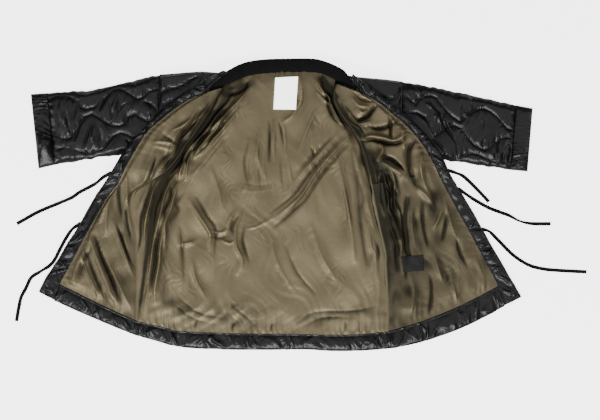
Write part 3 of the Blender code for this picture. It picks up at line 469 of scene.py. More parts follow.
# The quilting's stitched lines: rounded crests and sharp troughs, drawn out of line where
# the cloth is crumpled.
LEFT_SLEEVE_QUILTING = (
    ((-630, 282), (-610, 292), (-587, 294), (-568, 289), (-553, 275), (-539, 262), (-525, 258),
     (-504, 263), (-488, 277), (-469, 294), (-456, 308), (-440, 313), (-426, 308), (-403, 294),
     (-388, 285), (-375, 289), (-358, 304), (-334, 313)),
    ((-626, 198), (-607, 185), (-587, 177), (-568, 181), (-547, 208), (-531, 237), (-510, 245),
     (-490, 233), (-471, 221), (-456, 213), (-436, 212), (-423, 219), (-413, 237), (-395, 245),
     (-380, 235), (-361, 225)),
    ((-615, 142), (-599, 151), (-568, 154), (-547, 144), (-518, 138), (-481, 150), (-469, 169),
     (-453, 186), (-432, 194), (-413, 188), (-391, 175)),
    ((-367, 277), (-350, 271), (-334, 252)),
)
RIGHT_SLEEVE_QUILTING = (
    ((328, 299), (344, 285), (359, 271), (368, 284), (384, 292), (402, 294), (416, 288), (435, 263),
     (454, 242), (479, 224), (489, 230), (503, 243), (524, 256), (543, 259), (562, 251), (581, 235),
     (597, 216), (608, 205), (624, 200)),
    ((333, 246), (344, 249), (365, 248), (387, 236), (399, 212), (412, 185), (427, 195), (445, 209),
     (464, 214), (484, 205), (497, 185), (516, 163), (531, 154), (546, 147), (560, 154), (575, 166),
     (589, 178), (608, 181), (627, 173)),
    ((473, 120), (488, 130), (510, 138), (529, 135), (556, 123), (581, 112), (616, 117)),
)
LEFT_SHOULDER_QUILTING = (
    ((-331, 288), (-323, 302), (-308, 313), (-286, 315), (-264, 324), (-248, 336), (-229, 344)),
    ((-329, 250), (-318, 269), (-299, 279), (-280, 274)),
)
RIGHT_SHOULDER_QUILTING = (
    ((233, 304), (263, 289), (281, 284), (302, 286), (314, 296), (324, 302)),
    ((298, 250), (311, 263), (325, 271)),
)
LEFT_SLEEVE_FOLDS = (
    Fold(8, -5, ((-462, 279), (-458, 250), (-462, 224))),
    Fold(8, -5, ((-556, 274), (-558, 246), (-562, 225))),
    Fold(8, 4, ((-587, 250), (-584, 225), (-574, 194))),
    Fold(6, -4, ((-580, 250), (-577, 225), (-569, 198))),
    Fold(10, -6, ((-517, 220), (-523, 184), (-534, 154))),
    Fold(10, -6, ((-493, 217), (-488, 184), (-488, 151))),
    Fold(11, 4, ((-506, 209), (-507, 182), (-506, 158))),
    Fold(11, 3, ((-539, 215), (-545, 188), (-556, 163))),
    Fold(8, -4, ((-415, 274), (-429, 266), (-439, 250))),
    Fold(8, -4, ((-475, 288), (-488, 266), (-493, 247))),
    Fold(8, 4, ((-593, 147), (-572, 155), (-547, 144))),
    Fold(8, -5, ((-437, 293), (-442, 266), (-445, 231))),
    Fold(10, 5, ((-361, 271), (-356, 250), (-356, 231))),
    Fold(8, -5, ((-421, 177), (-407, 166), (-399, 150))),
    Fold(8, -4, ((-601, 279), (-604, 250), (-599, 217))),
    Fold(10, 3, ((-396, 279), (-402, 261), (-412, 247))),
    Fold(6, -4, ((-529, 147), (-526, 131), (-529, 120))),
    Fold(6, -4, ((-507, 147), (-504, 131), (-504, 120))),
    Fold(6, -4, ((-480, 144), (-477, 131), (-477, 123))),
)
RIGHT_SLEEVE_FOLDS = (
    Fold(8, -6, ((433, 252), (435, 221), (454, 190), (469, 166), (473, 136))),
    Fold(8, 4, ((439, 247), (443, 223), (462, 193))),
    Fold(8, 5, ((360, 309), (371, 298), (381, 290))),
    Fold(8, 4, ((387, 273), (398, 265), (406, 258))),
    Fold(8, 5, ((408, 242), (419, 234), (430, 219))),
    Fold(8, 4, ((365, 239), (387, 220), (395, 198))),
    Fold(8, -5, ((575, 185), (577, 150), (573, 115))),
    Fold(8, -4, ((533, 250), (541, 223), (538, 201))),
    Fold(8, -4, ((546, 174), (541, 161), (546, 147))),
    Fold(8, 5, ((489, 250), (497, 239), (503, 234))),
    Fold(6, -5, ((616, 169), (616, 142), (611, 109))),
    Fold(6, -5, ((597, 147), (597, 128), (595, 109))),
    Fold(10, 4, ((587, 142), (587, 126), (581, 112))),
    Fold(10, 4, ((605, 142), (605, 126), (603, 109))),
    Fold(8, -4, ((481, 282), (487, 261), (489, 239))),
    Fold(8, 4, ((446, 136), (457, 126), (462, 117))),
    Fold(8, -5, ((406, 180), (427, 158), (443, 134))),
    Fold(8, -4, ((400, 285), (408, 266), (430, 244))),
)
Sleeve = namedtuple("Sleeve", "side edges cuff_end quilting folds")
SLEEVES = {
    "left": Sleeve(-1, LEFT_SLEEVE, LEFT_CUFF_END, LEFT_SLEEVE_QUILTING, LEFT_SLEEVE_FOLDS),
    "right": Sleeve(1, RIGHT_SLEEVE, RIGHT_CUFF_END, RIGHT_SLEEVE_QUILTING, RIGHT_SLEEVE_FOLDS),
}

# A facing's gathers are waves over each other: their length against the pitch, their share of
# the height, and how far they lean across the facing, in millimetres.
Gather = namedtuple("Gather", "stretch weight tilt")
GATHERS = (Gather(1.0, 0.42, 20.0), Gather(1.83, 0.40, -30.0), Gather(0.57, 0.18, 22.0))


# Curves and noise.


def refined(table, steps):
    """The table's rows with steps - 1 more between each two, on a smooth curve."""
    rows = np.array(table, float)
    padded = np.vstack([2 * rows[0] - rows[1], rows, 2 * rows[-1] - rows[-2]])
    out = []
    for before, start, end, after in zip(padded, padded[1:], padded[2:], padded[3:]):
        for t in np.arange(steps) / steps:
            slope = (end - before) * t + (2 * before - 5 * start + 4 * end - after) * t * t
            out.append(0.5 * (2 * start + slope + (3 * start - before - 3 * end + after) * t**3))
    out.append(rows[-1])
    return np.array(out)


def travelled(points):
    """The distance along a line of points, at each of them."""
    return np.concatenate([[0], np.cumsum(np.linalg.norm(np.diff(points, axis=0), axis=1))])


def evenly(points, count):
    """A smooth curve through the points, read at equal distances."""
    fine = refined(points, 12)
    along = travelled(fine)
    wanted = np.linspace(0, along[-1], count)
    return np.stack([np.interp(wanted, along, column) for column in fine.T], axis=1)


def smooth_step(t):
    """From 0 to 1 with level ends, as t goes from 0 to 1."""
    t = np.clip(t, 0.0, 1.0)
    return t * t * (3 - 2 * t)


def billow(x, y, size, seed):
    """Soft uneven noise from -1 to 1, for lengths in the same unit as size."""
    random = np.random.default_rng(seed)
    total = np.zeros(np.broadcast(x, y).shape)
    for _ in range(7):
        angle, shift = random.uniform(0, 2 * math.pi, 2)
        pace = random.uniform(0.6, 1.6) * 2 * math.pi / size
        total += np.sin((x * math.cos(angle) + y * math.sin(angle)) * pace + shift)
    return total / 3.5


def creases(x, y, size, angle, seed):
    """Small sharp-backed wrinkles that run at about an angle, from 0 to 1."""
    random = np.random.default_rng(seed)
    warp_x = x + 0.9 * size * billow(x, y, 5 * size, seed + 1)
    warp_y = y + 0.9 * size * billow(x, y, 5 * size, seed + 2)
    total = 0
    for _ in range(4):
        turn = math.radians(angle + random.uniform(-28, 28))
        pace = random.uniform(0.7, 1.5) * math.pi / size
        across = -warp_x * math.sin(turn) + warp_y * math.cos(turn)
        total = total + (1 - np.abs(np.sin(across * pace + random.uniform(0, 6))))
    return total / 4


def wrinkles(x, y, height, size, angle, seed, level=CREASE_LEVEL):
    """Creases of a height in metres, above and below the cloth's own."""
    return height * (creases(x, y, size, angle, seed) - level)


def uneven_wave(run, pitch, sway, stretch, shift=0):
    """A wave from -1 to 1 along a seam, whose pitch drifts over a longer stretch."""
    return np.sin(run / pitch + sway * np.sin(run / stretch + shift))


def distance_to(course, x, y, steps=4):
    """The distance to a course, and how far along it the nearest point is, from 0 to 1."""
    line = refined(course, steps)
    along = travelled(line)
    best = np.full(x.shape, 1e9)
    share = np.zeros(x.shape)
    for start, end, run_before in zip(line, line[1:], along):
        run = end - start
        length = np.hypot(*run)
        t = np.clip(((x - start[0]) * run[0] + (y - start[1]) * run[1]) / length**2, 0, 1)
        distance = np.hypot(x - start[0] - t * run[0], y - start[1] - t * run[1])
        nearer = distance < best
        best = np.where(nearer, distance, best)
        share = np.where(nearer, (run_before + t * length) / along[-1], share)
    return best, share


def strand_folds(side, strands):
    """Folds that run beside a valley."""
    points = evenly(VALLEYS[side], 90)
    along = np.gradient(points, axis=0)
    along /= np.linalg.norm(along, axis=1, keepdims=True)
    inward = np.stack([-along[:, 1], along[:, 0]], axis=1)
    inward *= -side * np.sign(inward[:, :1].mean())
    out = []
    for number, strand in enumerate(strands):
        picked = np.linspace(strand.start, strand.end, 6) * (len(points) - 1)
        wobble = 1 + 0.09 * np.sin(2.1 * np.arange(6) + 1.7 * number)
        route = []
        for at, drift in zip(picked.round().astype(int), wobble):
            route.append(tuple(points[at] + inward[at] * strand.aside * drift))
        out.append(Fold(strand.width, strand.height, tuple(route)))
    return tuple(out)


def fold_relief(x, y, folds, gain=1.0):
    """What the folds add to the lining's height, in metres, at points in millimetres. A ridge
    has a narrow back on a broad foot."""
    total = np.zeros(x.shape)
    for number, fold in enumerate(folds):
        width = FOLD_SPREAD * fold.width * (1 + 0.25 * billow(x, y, 160, SEED + number))
        distance, share = distance_to(fold.course, x, y)
        taper = np.sin(math.pi * (0.06 + 0.88 * share)) ** 0.8
        broad = np.exp(-((distance / width) ** 2))
        narrow = np.exp(-((distance / (0.42 * width)) ** 2))
        total += gain * fold.height * MM * taper * (0.60 * broad + 0.40 * narrow)
    return total


def quilt_relief(x, y, lines):
    """How far the quilted cloth stands above its stitched lines, in metres, with the small
    tucks that the stitching draws into it."""
    nearest = np.min([distance_to(line, x, y, 1)[0] for line in lines], axis=0)
    cushion = 0.55 * (1 - np.exp(-nearest / 4.5)) + 0.45 * (1 - np.exp(-((nearest / 24.0) ** 1.4)))
    sag = 0.20 * np.exp(-((nearest / 30.0) ** 2))
    drawn = np.exp(-nearest / 9.0) * (1 - np.exp(-((nearest / 2.5) ** 2)))
    patch = smooth_step(0.4 + billow(x, y, 80, SEED + 8))
    tucks = wrinkles(x, y, 0.0060, 9, 82, SEED + 5) * drawn * patch
    soft = 0.0012 * billow(x, y, 60, SEED + 9)
    fine = wrinkles(x, y, 0.0030, 26, 74, SEED + 3)
    return QUILT_PUFF * (cushion - sag) + tucks + (soft + fine) * cushion


# Meshes.


def mesh_object(name, points, faces, material):
    """A smooth-shaded object in the scene, from its points in metres."""
    mesh = bpy.data.meshes.new(name)
    mesh.from_pydata(np.asarray(points).tolist(), [], [tuple(f) for f in faces])
    mesh.materials.append(material)
    mesh.shade_smooth()
    obj = bpy.data.objects.new(name, mesh)
    bpy.context.scene.collection.objects.link(obj)
    return obj


def grid_faces(rows, columns):
    """The faces of a grid of points, row after row."""
    first = (np.arange(rows - 1)[:, None] * columns + np.arange(columns - 1)[None]).ravel()
    return np.stack([first, first + columns, first + columns + 1, first + 1], axis=1).tolist()


def sheet_object(name, grid, material):
    """A surface through a grid of points, rows down the coat and columns to the right."""
    rows, columns = grid.shape[:2]
    return mesh_object(name, grid.reshape(-1, 3), grid_faces(rows, columns), material)


def neighbours_mean(height):
    """For each point of a grid of heights, the mean of the four beside it."""
    padded = np.pad(height, 1, mode="edge")
    return (padded[:-2, 1:-1] + padded[2:, 1:-1] + padded[1:-1, :-2] + padded[1:-1, 2:]) / 4


def hollows(height):
    """How far each point of a grid of heights lies below its surroundings, from 0 to 1, painted on the
    lining as shade.
    """
    around = height
    for _ in range(HOLLOW_STEPS):
        around = neighbours_mean(around)
    return np.clip((around - height) / HOLLOW_DEPTH, 0.0, 1.0)


def valley_shade(x, y, side, width):
    """How much less light reaches the cloth near a deep valley, from 0 to 1."""
    distance, share = distance_to(VALLEYS[side], x, y)
    reach = width * (1 + 0.55 * billow(x, y, 60, SEED + 90)) * (0.45 + 0.55 * smooth_step(5 * (1 - share)))
    strength = VALLEY_SHADE * (0.35 + 0.65 * smooth_step(2.6 * (1 - share)))
    return strength * np.exp(-((distance / np.maximum(reach, LEAST_REACH)) ** 1.4))


def pit_shade(x, y):
    """The painted shade in the pits at points in millimetres, from 0 to 1."""
    total = np.zeros(x.shape)
    for number, pit in enumerate(PITS):
        reach = pit.width * (1 + 0.5 * billow(x, y, 45, SEED + 95 + number))
        distance, _ = distance_to(pit.course, x, y)
        total += pit.depth * np.exp(-((distance / np.maximum(reach, LEAST_REACH)) ** 2))
    return total


def shaded(obj, values):
    """Keeps the painted shade of each point of a piece, by which its material darkens its colour."""
    attribute = obj.data.attributes.new("hollow", "FLOAT", "POINT")
    attribute.data.foreach_set("value", np.asarray(values, np.float32).ravel())
    return obj


def rightward(grid):
    """The grid with its columns turned, where needed, so that its faces look up."""
    middle = grid.shape[0] // 2, grid.shape[1] // 2
    here = grid[middle]
    down = grid[middle[0] + 1, middle[1]] - here
    right = grid[middle[0], middle[1] + 1] - here
    return grid if np.cross(down[:3], right[:3])[2] > 0 else grid[:, ::-1]


def lifted(flat, height):
    """Grid points of the plane, in millimetres, at heights in metres."""
    return np.concatenate([flat * MM, np.broadcast_to(height, flat.shape[:-1])[..., None]], axis=-1)


class Front:
    """One turned-out front. side is -1 for the one at the left of the picture."""

    def __init__(self, side, sections, armhole):
        self.side = side
        self.name = "left" if side < 0 else "right"
        self.rows = refined(sections, SECTION_STEPS)
        self.rows[:, LIFT] = np.clip(self.rows[:, LIFT], 0, FLAP_LIFT / MM)
        self.first = FIRST_FLAP_SECTION * SECTION_STEPS
        self.hem = HEM_SECTION * SECTION_STEPS
        self.fold_end = FOLD_END_SECTION[side] * SECTION_STEPS
        self.armhole = armhole
        self.away = np.array([side, 0.0])

    def armhole_points(self, count):
        """Points along the shoulder line and down the armhole, one of them on the corner."""
        shoulder = evenly(self.armhole.shoulder, 40)
        corner, end = shoulder[-1], np.array(self.armhole.end, float)
        share = math.dist(shoulder[0], corner) / (math.dist(shoulder[0], corner) + math.dist(corner, end))
        first = round(share * (count - 1)) + 1
        seam = np.linspace(corner, end, count - first + 1)
        return np.vstack([evenly(self.armhole.shoulder, first), seam[1:]])

    def across(self, rows, t):
        """Points of sections in the plane: t is 0 at the seam and 1 at the facing."""
        seam, inner, bow = rows[..., SEAM], rows[..., INNER], rows[..., BOW]
        sag = np.stack([np.zeros_like(t * bow), 4 * bow * t * (1 - t)], axis=-1)
        return seam + (inner - seam) * np.asarray(t)[..., None] - sag


def front_shell(front, lines, material):
    """The padded front's underside and outer edge, and the quilted layer turned under it."""
    rows = front.rows[front.first:]
    folded = front.fold_end - front.first + 1
    lift = rows[:, LIFT] * MM
    shares = np.linspace(0, 1, 14)
    flat = front.across(rows[:, None, :], np.broadcast_to(shares, (len(rows), len(shares))))
    flat = np.concatenate([flat, rows[:, OUTER][:, None]], axis=1)
    under = rightward(lifted(flat, lift[:, None] + CLEARANCE))[:, ::-1]
    seam = rows[:folded, SEAM] + front.away * 4
    armhole = front.armhole_points(folded)
    t = np.linspace(0, 1, SHOULDER_COLUMNS)[None]
    flat = seam[:, None] + (armhole[:, None] - seam[:, None]) * t[..., None]
    x, y = flat[..., 0], flat[..., 1]
    edge = smooth_step(12 * (1 - t)) * smooth_step(14 * np.linspace(0, 1, folded)[:, None])
    tucks = 0.0016 * np.exp(-(1 - t) * 14) * uneven_wave(y, 4.1, 1.3, 17)
    body = 0.0045 + quilt_relief(x, y, lines) * 0.9 + tucks
    quilted = rightward(lifted(flat, WALL + 0.0030 + body * edge * smooth_step(3 * t)))
    coarse = flat[:, ::6]
    inside = rightward(lifted(coarse, np.full(coarse.shape[:2], WALL + GAP)))[:, ::-1]
    return joined_grids(f"{front.name}_front_shell_cloth", [under, quilted, inside], material)


def joined_grids(name, grids, material):
    """Several grids as one object."""
    points, faces, first = [], [], 0
    for grid in grids:
        rows, columns = grid.shape[:2]
        points.append(grid.reshape(-1, 3))
        faces += (np.array(grid_faces(rows, columns)) + first).tolist()
        first += rows * columns
    return mesh_object(name, np.concatenate(points), faces, material)


def soft_floor(height):
    """Heights that never pass below 0, with a rounded bottom."""
    soft = 0.0015
    return soft * np.logaddexp(0, height / soft)


def edge_pucker(distance, along, seed, reach=22.0):
    """Small tucks at right angles to a stitched edge, for lengths in millimetres."""
    phase = along / 3.1 + 1.9 * np.sin(along / 23.0 + seed) + 1.1 * np.sin(along / 9.1 + 2 * seed)
    strength = 0.55 + 0.45 * np.sin(along / 41.0 + 3 * seed)
    return np.exp(-distance / reach) * np.sin(phase) * strength


def front_lining(front, folds, material):
    """The front's satin lining: out to the facing, and round the fold down to the back."""
    rows = front.rows[front.first : front.hem + 1]
    count = len(rows)
    rest = WALL + GAP + LINING_CLOTH
    lift = rows[:, LIFT] * MM
    t = np.linspace(0, 1, FRONT_LINING_COLUMNS)[None, 1:] * np.ones((count, 1))
    flat = front.across(rows[:, None, :], t)
    flat[:, -1] += front.away * 2
    x, y = flat[..., 0], flat[..., 1]
    down = np.linspace(0, 1, count)[:, None]
    width = np.linalg.norm(rows[:, INNER] - rows[:, SEAM], axis=1)[:, None]
    along = travelled(rows[:, INNER])[:, None]
    slack = smooth_step(7 * (1 - t)) * smooth_step(4 * t + 0.25) * smooth_step(14 * (1 - down))
    folds = folds + strand_folds(front.side, FRONT_STRANDS[front.side])
    relief = LINING_LOFT + fold_relief(x, y, folds, FOLD_GAIN[front.side])
    relief += 0.0024 * billow(x, y, 90, SEED + 20)
    relief += wrinkles(x, y, 0.0022, 38, FRONT_CREASE_ANGLE[front.side], SEED + 21)
    crumpled = smooth_step(billow(x, y, 150, SEED + 24) + 0.1)
    relief += wrinkles(x, y, 0.0016, 16, 60, SEED + 23) * crumpled
    unpressed = relief
    relief = LINING_RISE * np.tanh(relief / LINING_RISE)
    bottom = np.where(lift[:, None] > 0.012, -0.0078, -0.0005)  # deeper over the lifted flap
    relief = bottom + soft_floor(relief - bottom)
    puckers = 0.0010 * edge_pucker((1 - t) * width, along, front.side) * smooth_step(40 * (1 - t))
    hem = 0.0010 * edge_pucker((1 - down) * FRONT_PUCKER_LENGTH, x, 2.0) * smooth_step(60 * (1 - down))
    height = rest + lift[:, None] + relief * slack + puckers + hem + CLEARANCE
    reach = ROLL_REACH / MM * (1 + 0.35 * billow(rows[:, 1], 0, 60, SEED + 22))
    wrap = []
    for turn in np.linspace(0, 1, LINING_ROLL_POINTS)[:-1]:
        swing = math.pi * (turn - 0.5)
        out = rows[:, SEAM] - front.away * (reach * math.cos(swing))[:, None]
        wrap.append(lifted(out, rest + lift * (0.5 + 0.5 * math.sin(swing)) + 0.001 * turn))
    grid = np.concatenate([np.stack(wrap, axis=1), lifted(flat, height)], axis=1)
    # painted shade for the lining's colour: in its hollows, pits and valleys, and towards the hem
    shade = hollows(unpressed) + pit_shade(x, y) + valley_shade(x, y, front.side, VALLEY_REACH)
    shade += FRONT_SHADE[front.side] * smooth_step((260 - y) / 300) * (1 - 0.40 * t)
    # painted shade round the lining's fold, darker where the front is lifted
    painted_roll_shade = np.broadcast_to((0.2 + 0.6 * lift / FLAP_LIFT)[:, None], (count, len(wrap)))
    shade = np.concatenate([painted_roll_shade, np.minimum(shade, DARKEST)], axis=1)
    return lining_object(f"{front.name}_lining_cloth", grid, shade, material)


def lining_object(name, grid, shade, material):
    """A lining from its grid, with the shade of each point."""
    both = rightward(np.concatenate([grid, shade[..., None]], axis=-1))
    return shaded(sheet_object(name, both[..., :3], material), both[..., 3])


def coons(top, bottom, left, right):
    """A grid of points between four edges."""
    rows, columns = len(left), len(top)
    u = np.linspace(0, 1, columns)[None, :, None]
    v = np.linspace(0, 1, rows)[:, None, None]
    ruled = (1 - v) * top[None] + v * bottom[None] + (1 - u) * left[:, None] + u * right[:, None]
    corners = (1 - v) * ((1 - u) * top[0] + u * top[-1]) + v * ((1 - u) * bottom[0] + u * bottom[-1])
    return ruled - corners


def back_lining(fronts, material):
    """The back's satin lining, loose over the padding between the two seams."""
    rows, columns = LINING_ROWS, LINING_COLUMNS
    reach = (ROLL_REACH + SEAM_SLACK) / MM - LINING_LAP
    sides = []
    for front, corner, foot in ((fronts[0], BACK_LINING_TOP[0], BACK_HEM_INNER[0]),
                                (fronts[1], BACK_LINING_TOP[-1], BACK_HEM_INNER[-1])):
        seam = [row[SEAM] - front.away * reach for row in front.rows[front.first : front.hem]]
        shifted_foot = np.array(foot) - np.array([front.side * reach, 0])
        sides.append(evenly([corner, *seam[SECTION_STEPS::SECTION_STEPS], shifted_foot], rows))
    bottom = evenly(BACK_HEM_INNER, columns) - np.array([0, 2.0])
    bottom[0], bottom[-1] = sides[0][-1], sides[1][-1]
    flat = coons(evenly(BACK_LINING_TOP, columns), bottom, sides[0], sides[1])
    x, y = flat[..., 0], flat[..., 1]
    u = np.linspace(0, 1, columns)[None]
    v = np.linspace(0, 1, rows)[:, None]
    edge = smooth_step(14 * np.minimum(u, 1 - u)) * smooth_step(12 * (1 - v)) * smooth_step(16 * v)
    strands = strand_folds(-1, BACK_STRANDS[-1]) + strand_folds(1, BACK_STRANDS[1])
    relief = fold_relief(x, y, BACK_FOLDS, FOLD_GAIN[0]) + fold_relief(x, y, strands, STRAND_GAIN)
    relief += 1.1 * LINING_LOFT + 0.0026 * billow(x, y, 110, SEED + 30)
    relief += wrinkles(x, y, 0.0014, 40, 100, SEED + 31)
    crumpled = smooth_step(billow(x, y, 170, SEED + 34) + 0.1)
    relief += wrinkles(x, y, 0.0018, 17, 88, SEED + 33) * crumpled
    by_hem = smooth_step(9 * (v - 0.84))
    relief += wrinkles(x, y, 0.0044, 54, 38, SEED + 35, HEM_CREASE_LEVEL) * by_hem
    # painted shade for the lining's colour: in its hollows, pits and valleys, in patches by the hem and
    # towards the neck
    shade = hollows(relief) + pit_shade(x, y) + valley_shade(x, y, -1, VALLEY_REACH)
    shade += HEM_SHADE * by_hem * creases(x, y, 70, 12, SEED + 36)
    shade += NECK_SHADE * smooth_step(11 * (0.10 - v)) + valley_shade(x, y, 1, 0.7 * VALLEY_REACH)
    shade = np.minimum(shade, DARKEST)
    relief = soft_floor(relief)
    hem = 0.0022 * edge_pucker((1 - v) * LINING_LENGTH, x, 1.0) * smooth_step(80 * (1 - v))
    neck = 0.0022 * edge_pucker(v * LINING_LENGTH, x, 0.4, 18.0) * smooth_step(80 * v)
    height = WALL + GAP + LINING_CLOTH + relief * edge + hem + neck + 0.0006
    return lining_object("back_lining_cloth", lifted(flat, height), shade, material)


def puff_profile(t):
    """A facing's height across its width: t is 0 at the garment's edge, 1 at the lining."""
    return np.sin(math.pi * np.clip(t, 0, 1)) ** 0.62


def gathers(along, t, seed, pitch=29.0):
    """Uneven gathers drawn into a facing by its stitched edge, from about -1 to 1."""
    drift = 14.0 * billow(along, 30 * t, 90, SEED + int(10 * seed))
    total = 0
    for wave in GATHERS:
        phase = (along + drift + wave.tilt * t) * math.pi / (pitch * wave.stretch)
        total = total + wave.weight * (1 - 2 * np.abs(np.sin(phase + 3 * wave.stretch * seed)) ** 0.7)
    strength = 0.60 + 0.55 * billow(along, 20 * t, 70, SEED + 5 + int(10 * seed))
    return total * np.clip(strength, 0.1, 1.2)


def facing(name, outer_edge, inner_edge, rest, floor, material, seed):
    """A puffed nylon facing between two edges in the plane. It rests at a height for each row
    and its outer edge turns down to the floor height. Its inner part is flattened by the
    stitched line that holds the lining."""
    along = travelled(outer_edge)[:, None]
    across = inner_edge - outer_edge
    width = np.linalg.norm(across, axis=1)[:, None]
    t = np.linspace(0, 1, FACING_COLUMNS)[None]
    flat = outer_edge[:, None] + across[:, None] * t[..., None]
    stitch = 1 - (FACING_STITCH_IN / MM) / width
    before = puff_profile(t / stitch)
    lip = 0.42 * puff_profile((t - stitch) / (1 - stitch))
    body = np.where(t < stitch, before, lip)
    folds = gathers(along, t, seed)
    fine = wrinkles(along + 0 * t, t * width, 0.0022, 12, 80, SEED + int(10 * seed) + 40)
    top = body * (FACING_HEIGHT * np.maximum(0.72 + 0.84 * folds, 0.06) + fine)
    grid = lifted(flat, rest[:, None] + CLEARANCE + top)
    sideways = -across / width
    turned = []
    depth = (rest - floor)[:, None]
    for turn in np.linspace(0, 1, FACING_ROLL_POINTS)[:-1]:
        swing = math.pi * (turn - 0.5)
        out = outer_edge + sideways * (2.6 * math.cos(swing) * (1 + 0.4 * folds[:, :1]))
        turned.append(lifted(out, (floor[:, None] + depth * (0.5 + 0.5 * math.sin(swing)))[:, 0]))
    grid = np.concatenate([np.stack(turned, axis=1), grid], axis=1)
    return sheet_object(name, rightward(grid), material)


def front_facing(front, material):
    """The facing down a front's edge, from the neck to the hem."""
    rows = front.rows
    lift = rows[:, LIFT] * MM
    return facing(f"{front.name}_facing_cloth", rows[:, OUTER], rows[:, INNER] + front.away * 0.2,
                  lift + WALL, lift + GAP, material, 1.0 + front.side * 0.4)


def front_hem(front, material):
    """The hem facing along a front."""
    inner_row, outer_row = front.rows[front.hem], front.rows[-1]
    shares = np.linspace(1, 0, FRONT_HEM_ROWS)
    outer_edge = front.across(outer_row[None], shares)
    inner_edge = front.across(inner_row[None], shares)
    rest, floor = np.full(len(shares), WALL), np.full(len(shares), GAP)
    return facing(f"{front.name}_hem_cloth", outer_edge, inner_edge, rest, floor, material,
                  2.0 + front.side * 0.3)


def back_hem(material):
    """The hem facing along the back."""
    rest, floor = np.full(HEM_ROWS, WALL), np.full(HEM_ROWS, GAP)
    return facing("back_hem_cloth", evenly(BACK_HEM, HEM_ROWS), evenly(BACK_HEM_INNER, HEM_ROWS),
                  rest, floor, material, 3.0)


def neck_band(material):
    """The matte band round the neck, with a stitched line along each edge."""
    rows = refined(NECK_BAND, 16)
    outer_edge, inner_edge, rest = rows[:, NECK_OUTER], rows[:, NECK_INNER], rows[:, NECK_REST] * MM
    along = travelled(outer_edge)[:, None]
    t = np.linspace(0, 1, NECK_COLUMNS)[None]
    flat = outer_edge[:, None] + (inner_edge - outer_edge)[:, None] * t[..., None]
    body = 0.55 + 0.45 * np.sin(math.pi * t) ** 0.5
    grooves = sum(np.exp(-(((t - share) / 0.035) ** 2)) for share in NECK_STITCHES)
    ripple = 0.0007 * billow(along + 0 * t, 30 * t, 46, SEED + 50)
    top = rest[:, None] + 0.0045 * body - 0.0010 * grooves + ripple
    grid = lifted(flat, top)
    edges = [lifted(outer_edge, rest - 0.002), lifted(inner_edge, rest - 0.001)]
    grid = np.concatenate([edges[0][:, None], grid, edges[1][:, None]], axis=1)
    return sheet_object("neck_band_cloth", rightward(grid), material)


def back_shell(fronts, material):
    """The back's shell, flat where it rests on the surface, with a bevelled edge down to the floor."""
    outline = []
    for front in fronts:
        armhole = [np.array(front.armhole.shoulder[-1], float), np.array(front.armhole.end, float)]
        seam = [row[SEAM] - front.away * 0.4 for row in front.rows[front.fold_end :]]
        side = armhole + seam
        outline.append(side if front.side < 0 else side[::-1])
    hem = list(evenly(BACK_HEM, BACK_EDGE_POINTS)[1:-1])
    top = list(evenly(BACK_TOP, BACK_EDGE_POINTS)[1:-1])[::-1]
    edge = outline[0] + hem + outline[1] + top
    count = len(edge)
    rings = [(0.0, 0.0010), (0.0, WALL * 0.6), (2.5, WALL)]
    centre = np.mean(edge, axis=0)
    points = []
    for inset, height in rings:
        for point in edge:
            inward = (centre - point) / np.linalg.norm(centre - point)
            points.append((*((point + inward * inset) * MM), height))
    faces = []
    for ring in range(len(rings) - 1):
        for i in range(count):
            following = (i + 1) % count
            faces.append((ring * count + i, ring * count + following,
                          (ring + 1) * count + following, (ring + 1) * count + i))
    faces.append(tuple(range((len(rings) - 1) * count, len(rings) * count)))
    faces.append(tuple(range(count))[::-1])
    return mesh_object("back_shell_cloth", points, faces, material)


def tube_height(t, height):
    """The upper side of a flattened tube: full over its width, round at both edges."""
    return height * np.maximum(1 - np.abs(2 * t - 1) ** 7, 0) ** 0.5


def flat_tube(name, tops, lows, top_height, material):
    """A padded tube lying flat: its upper side with relief and its resting underside."""
    share = np.linspace(0, 1, TUBE_COLUMNS)[None]
    t = 0.35 * (0.5 - 0.5 * np.cos(math.pi * share)) + 0.65 * share
    flat = tops[:, None] + (lows - tops)[:, None] * t[..., None]
    upper = lifted(flat, np.maximum(top_height(t, flat), 0.0012))
    under_t = np.linspace(0.985, 0.015, TUBE_UNDER_COLUMNS)[None]
    flat = tops[:, None] + (lows - tops)[:, None] * under_t[..., None]
    sag = 0.0025 * (1 - smooth_step(10 * np.minimum(under_t, 1 - under_t)))
    under = lifted(flat, sag + 0 * flat[..., 0])
    grid = np.concatenate([under[:, -1:], upper, under], axis=1)
    ends = [grid[:1].copy(), grid[-1:].copy()]
    for end, inward in zip(ends, (grid[1] - grid[0], grid[-2] - grid[-1])):
        end[..., 2] = 0.002
        end[..., 0] -= np.sign(inward[0, 0]) * SEAM_LAP
    grid = np.concatenate([ends[0], grid, ends[1]], axis=0)
    return sheet_object(name, rightward(grid), material)


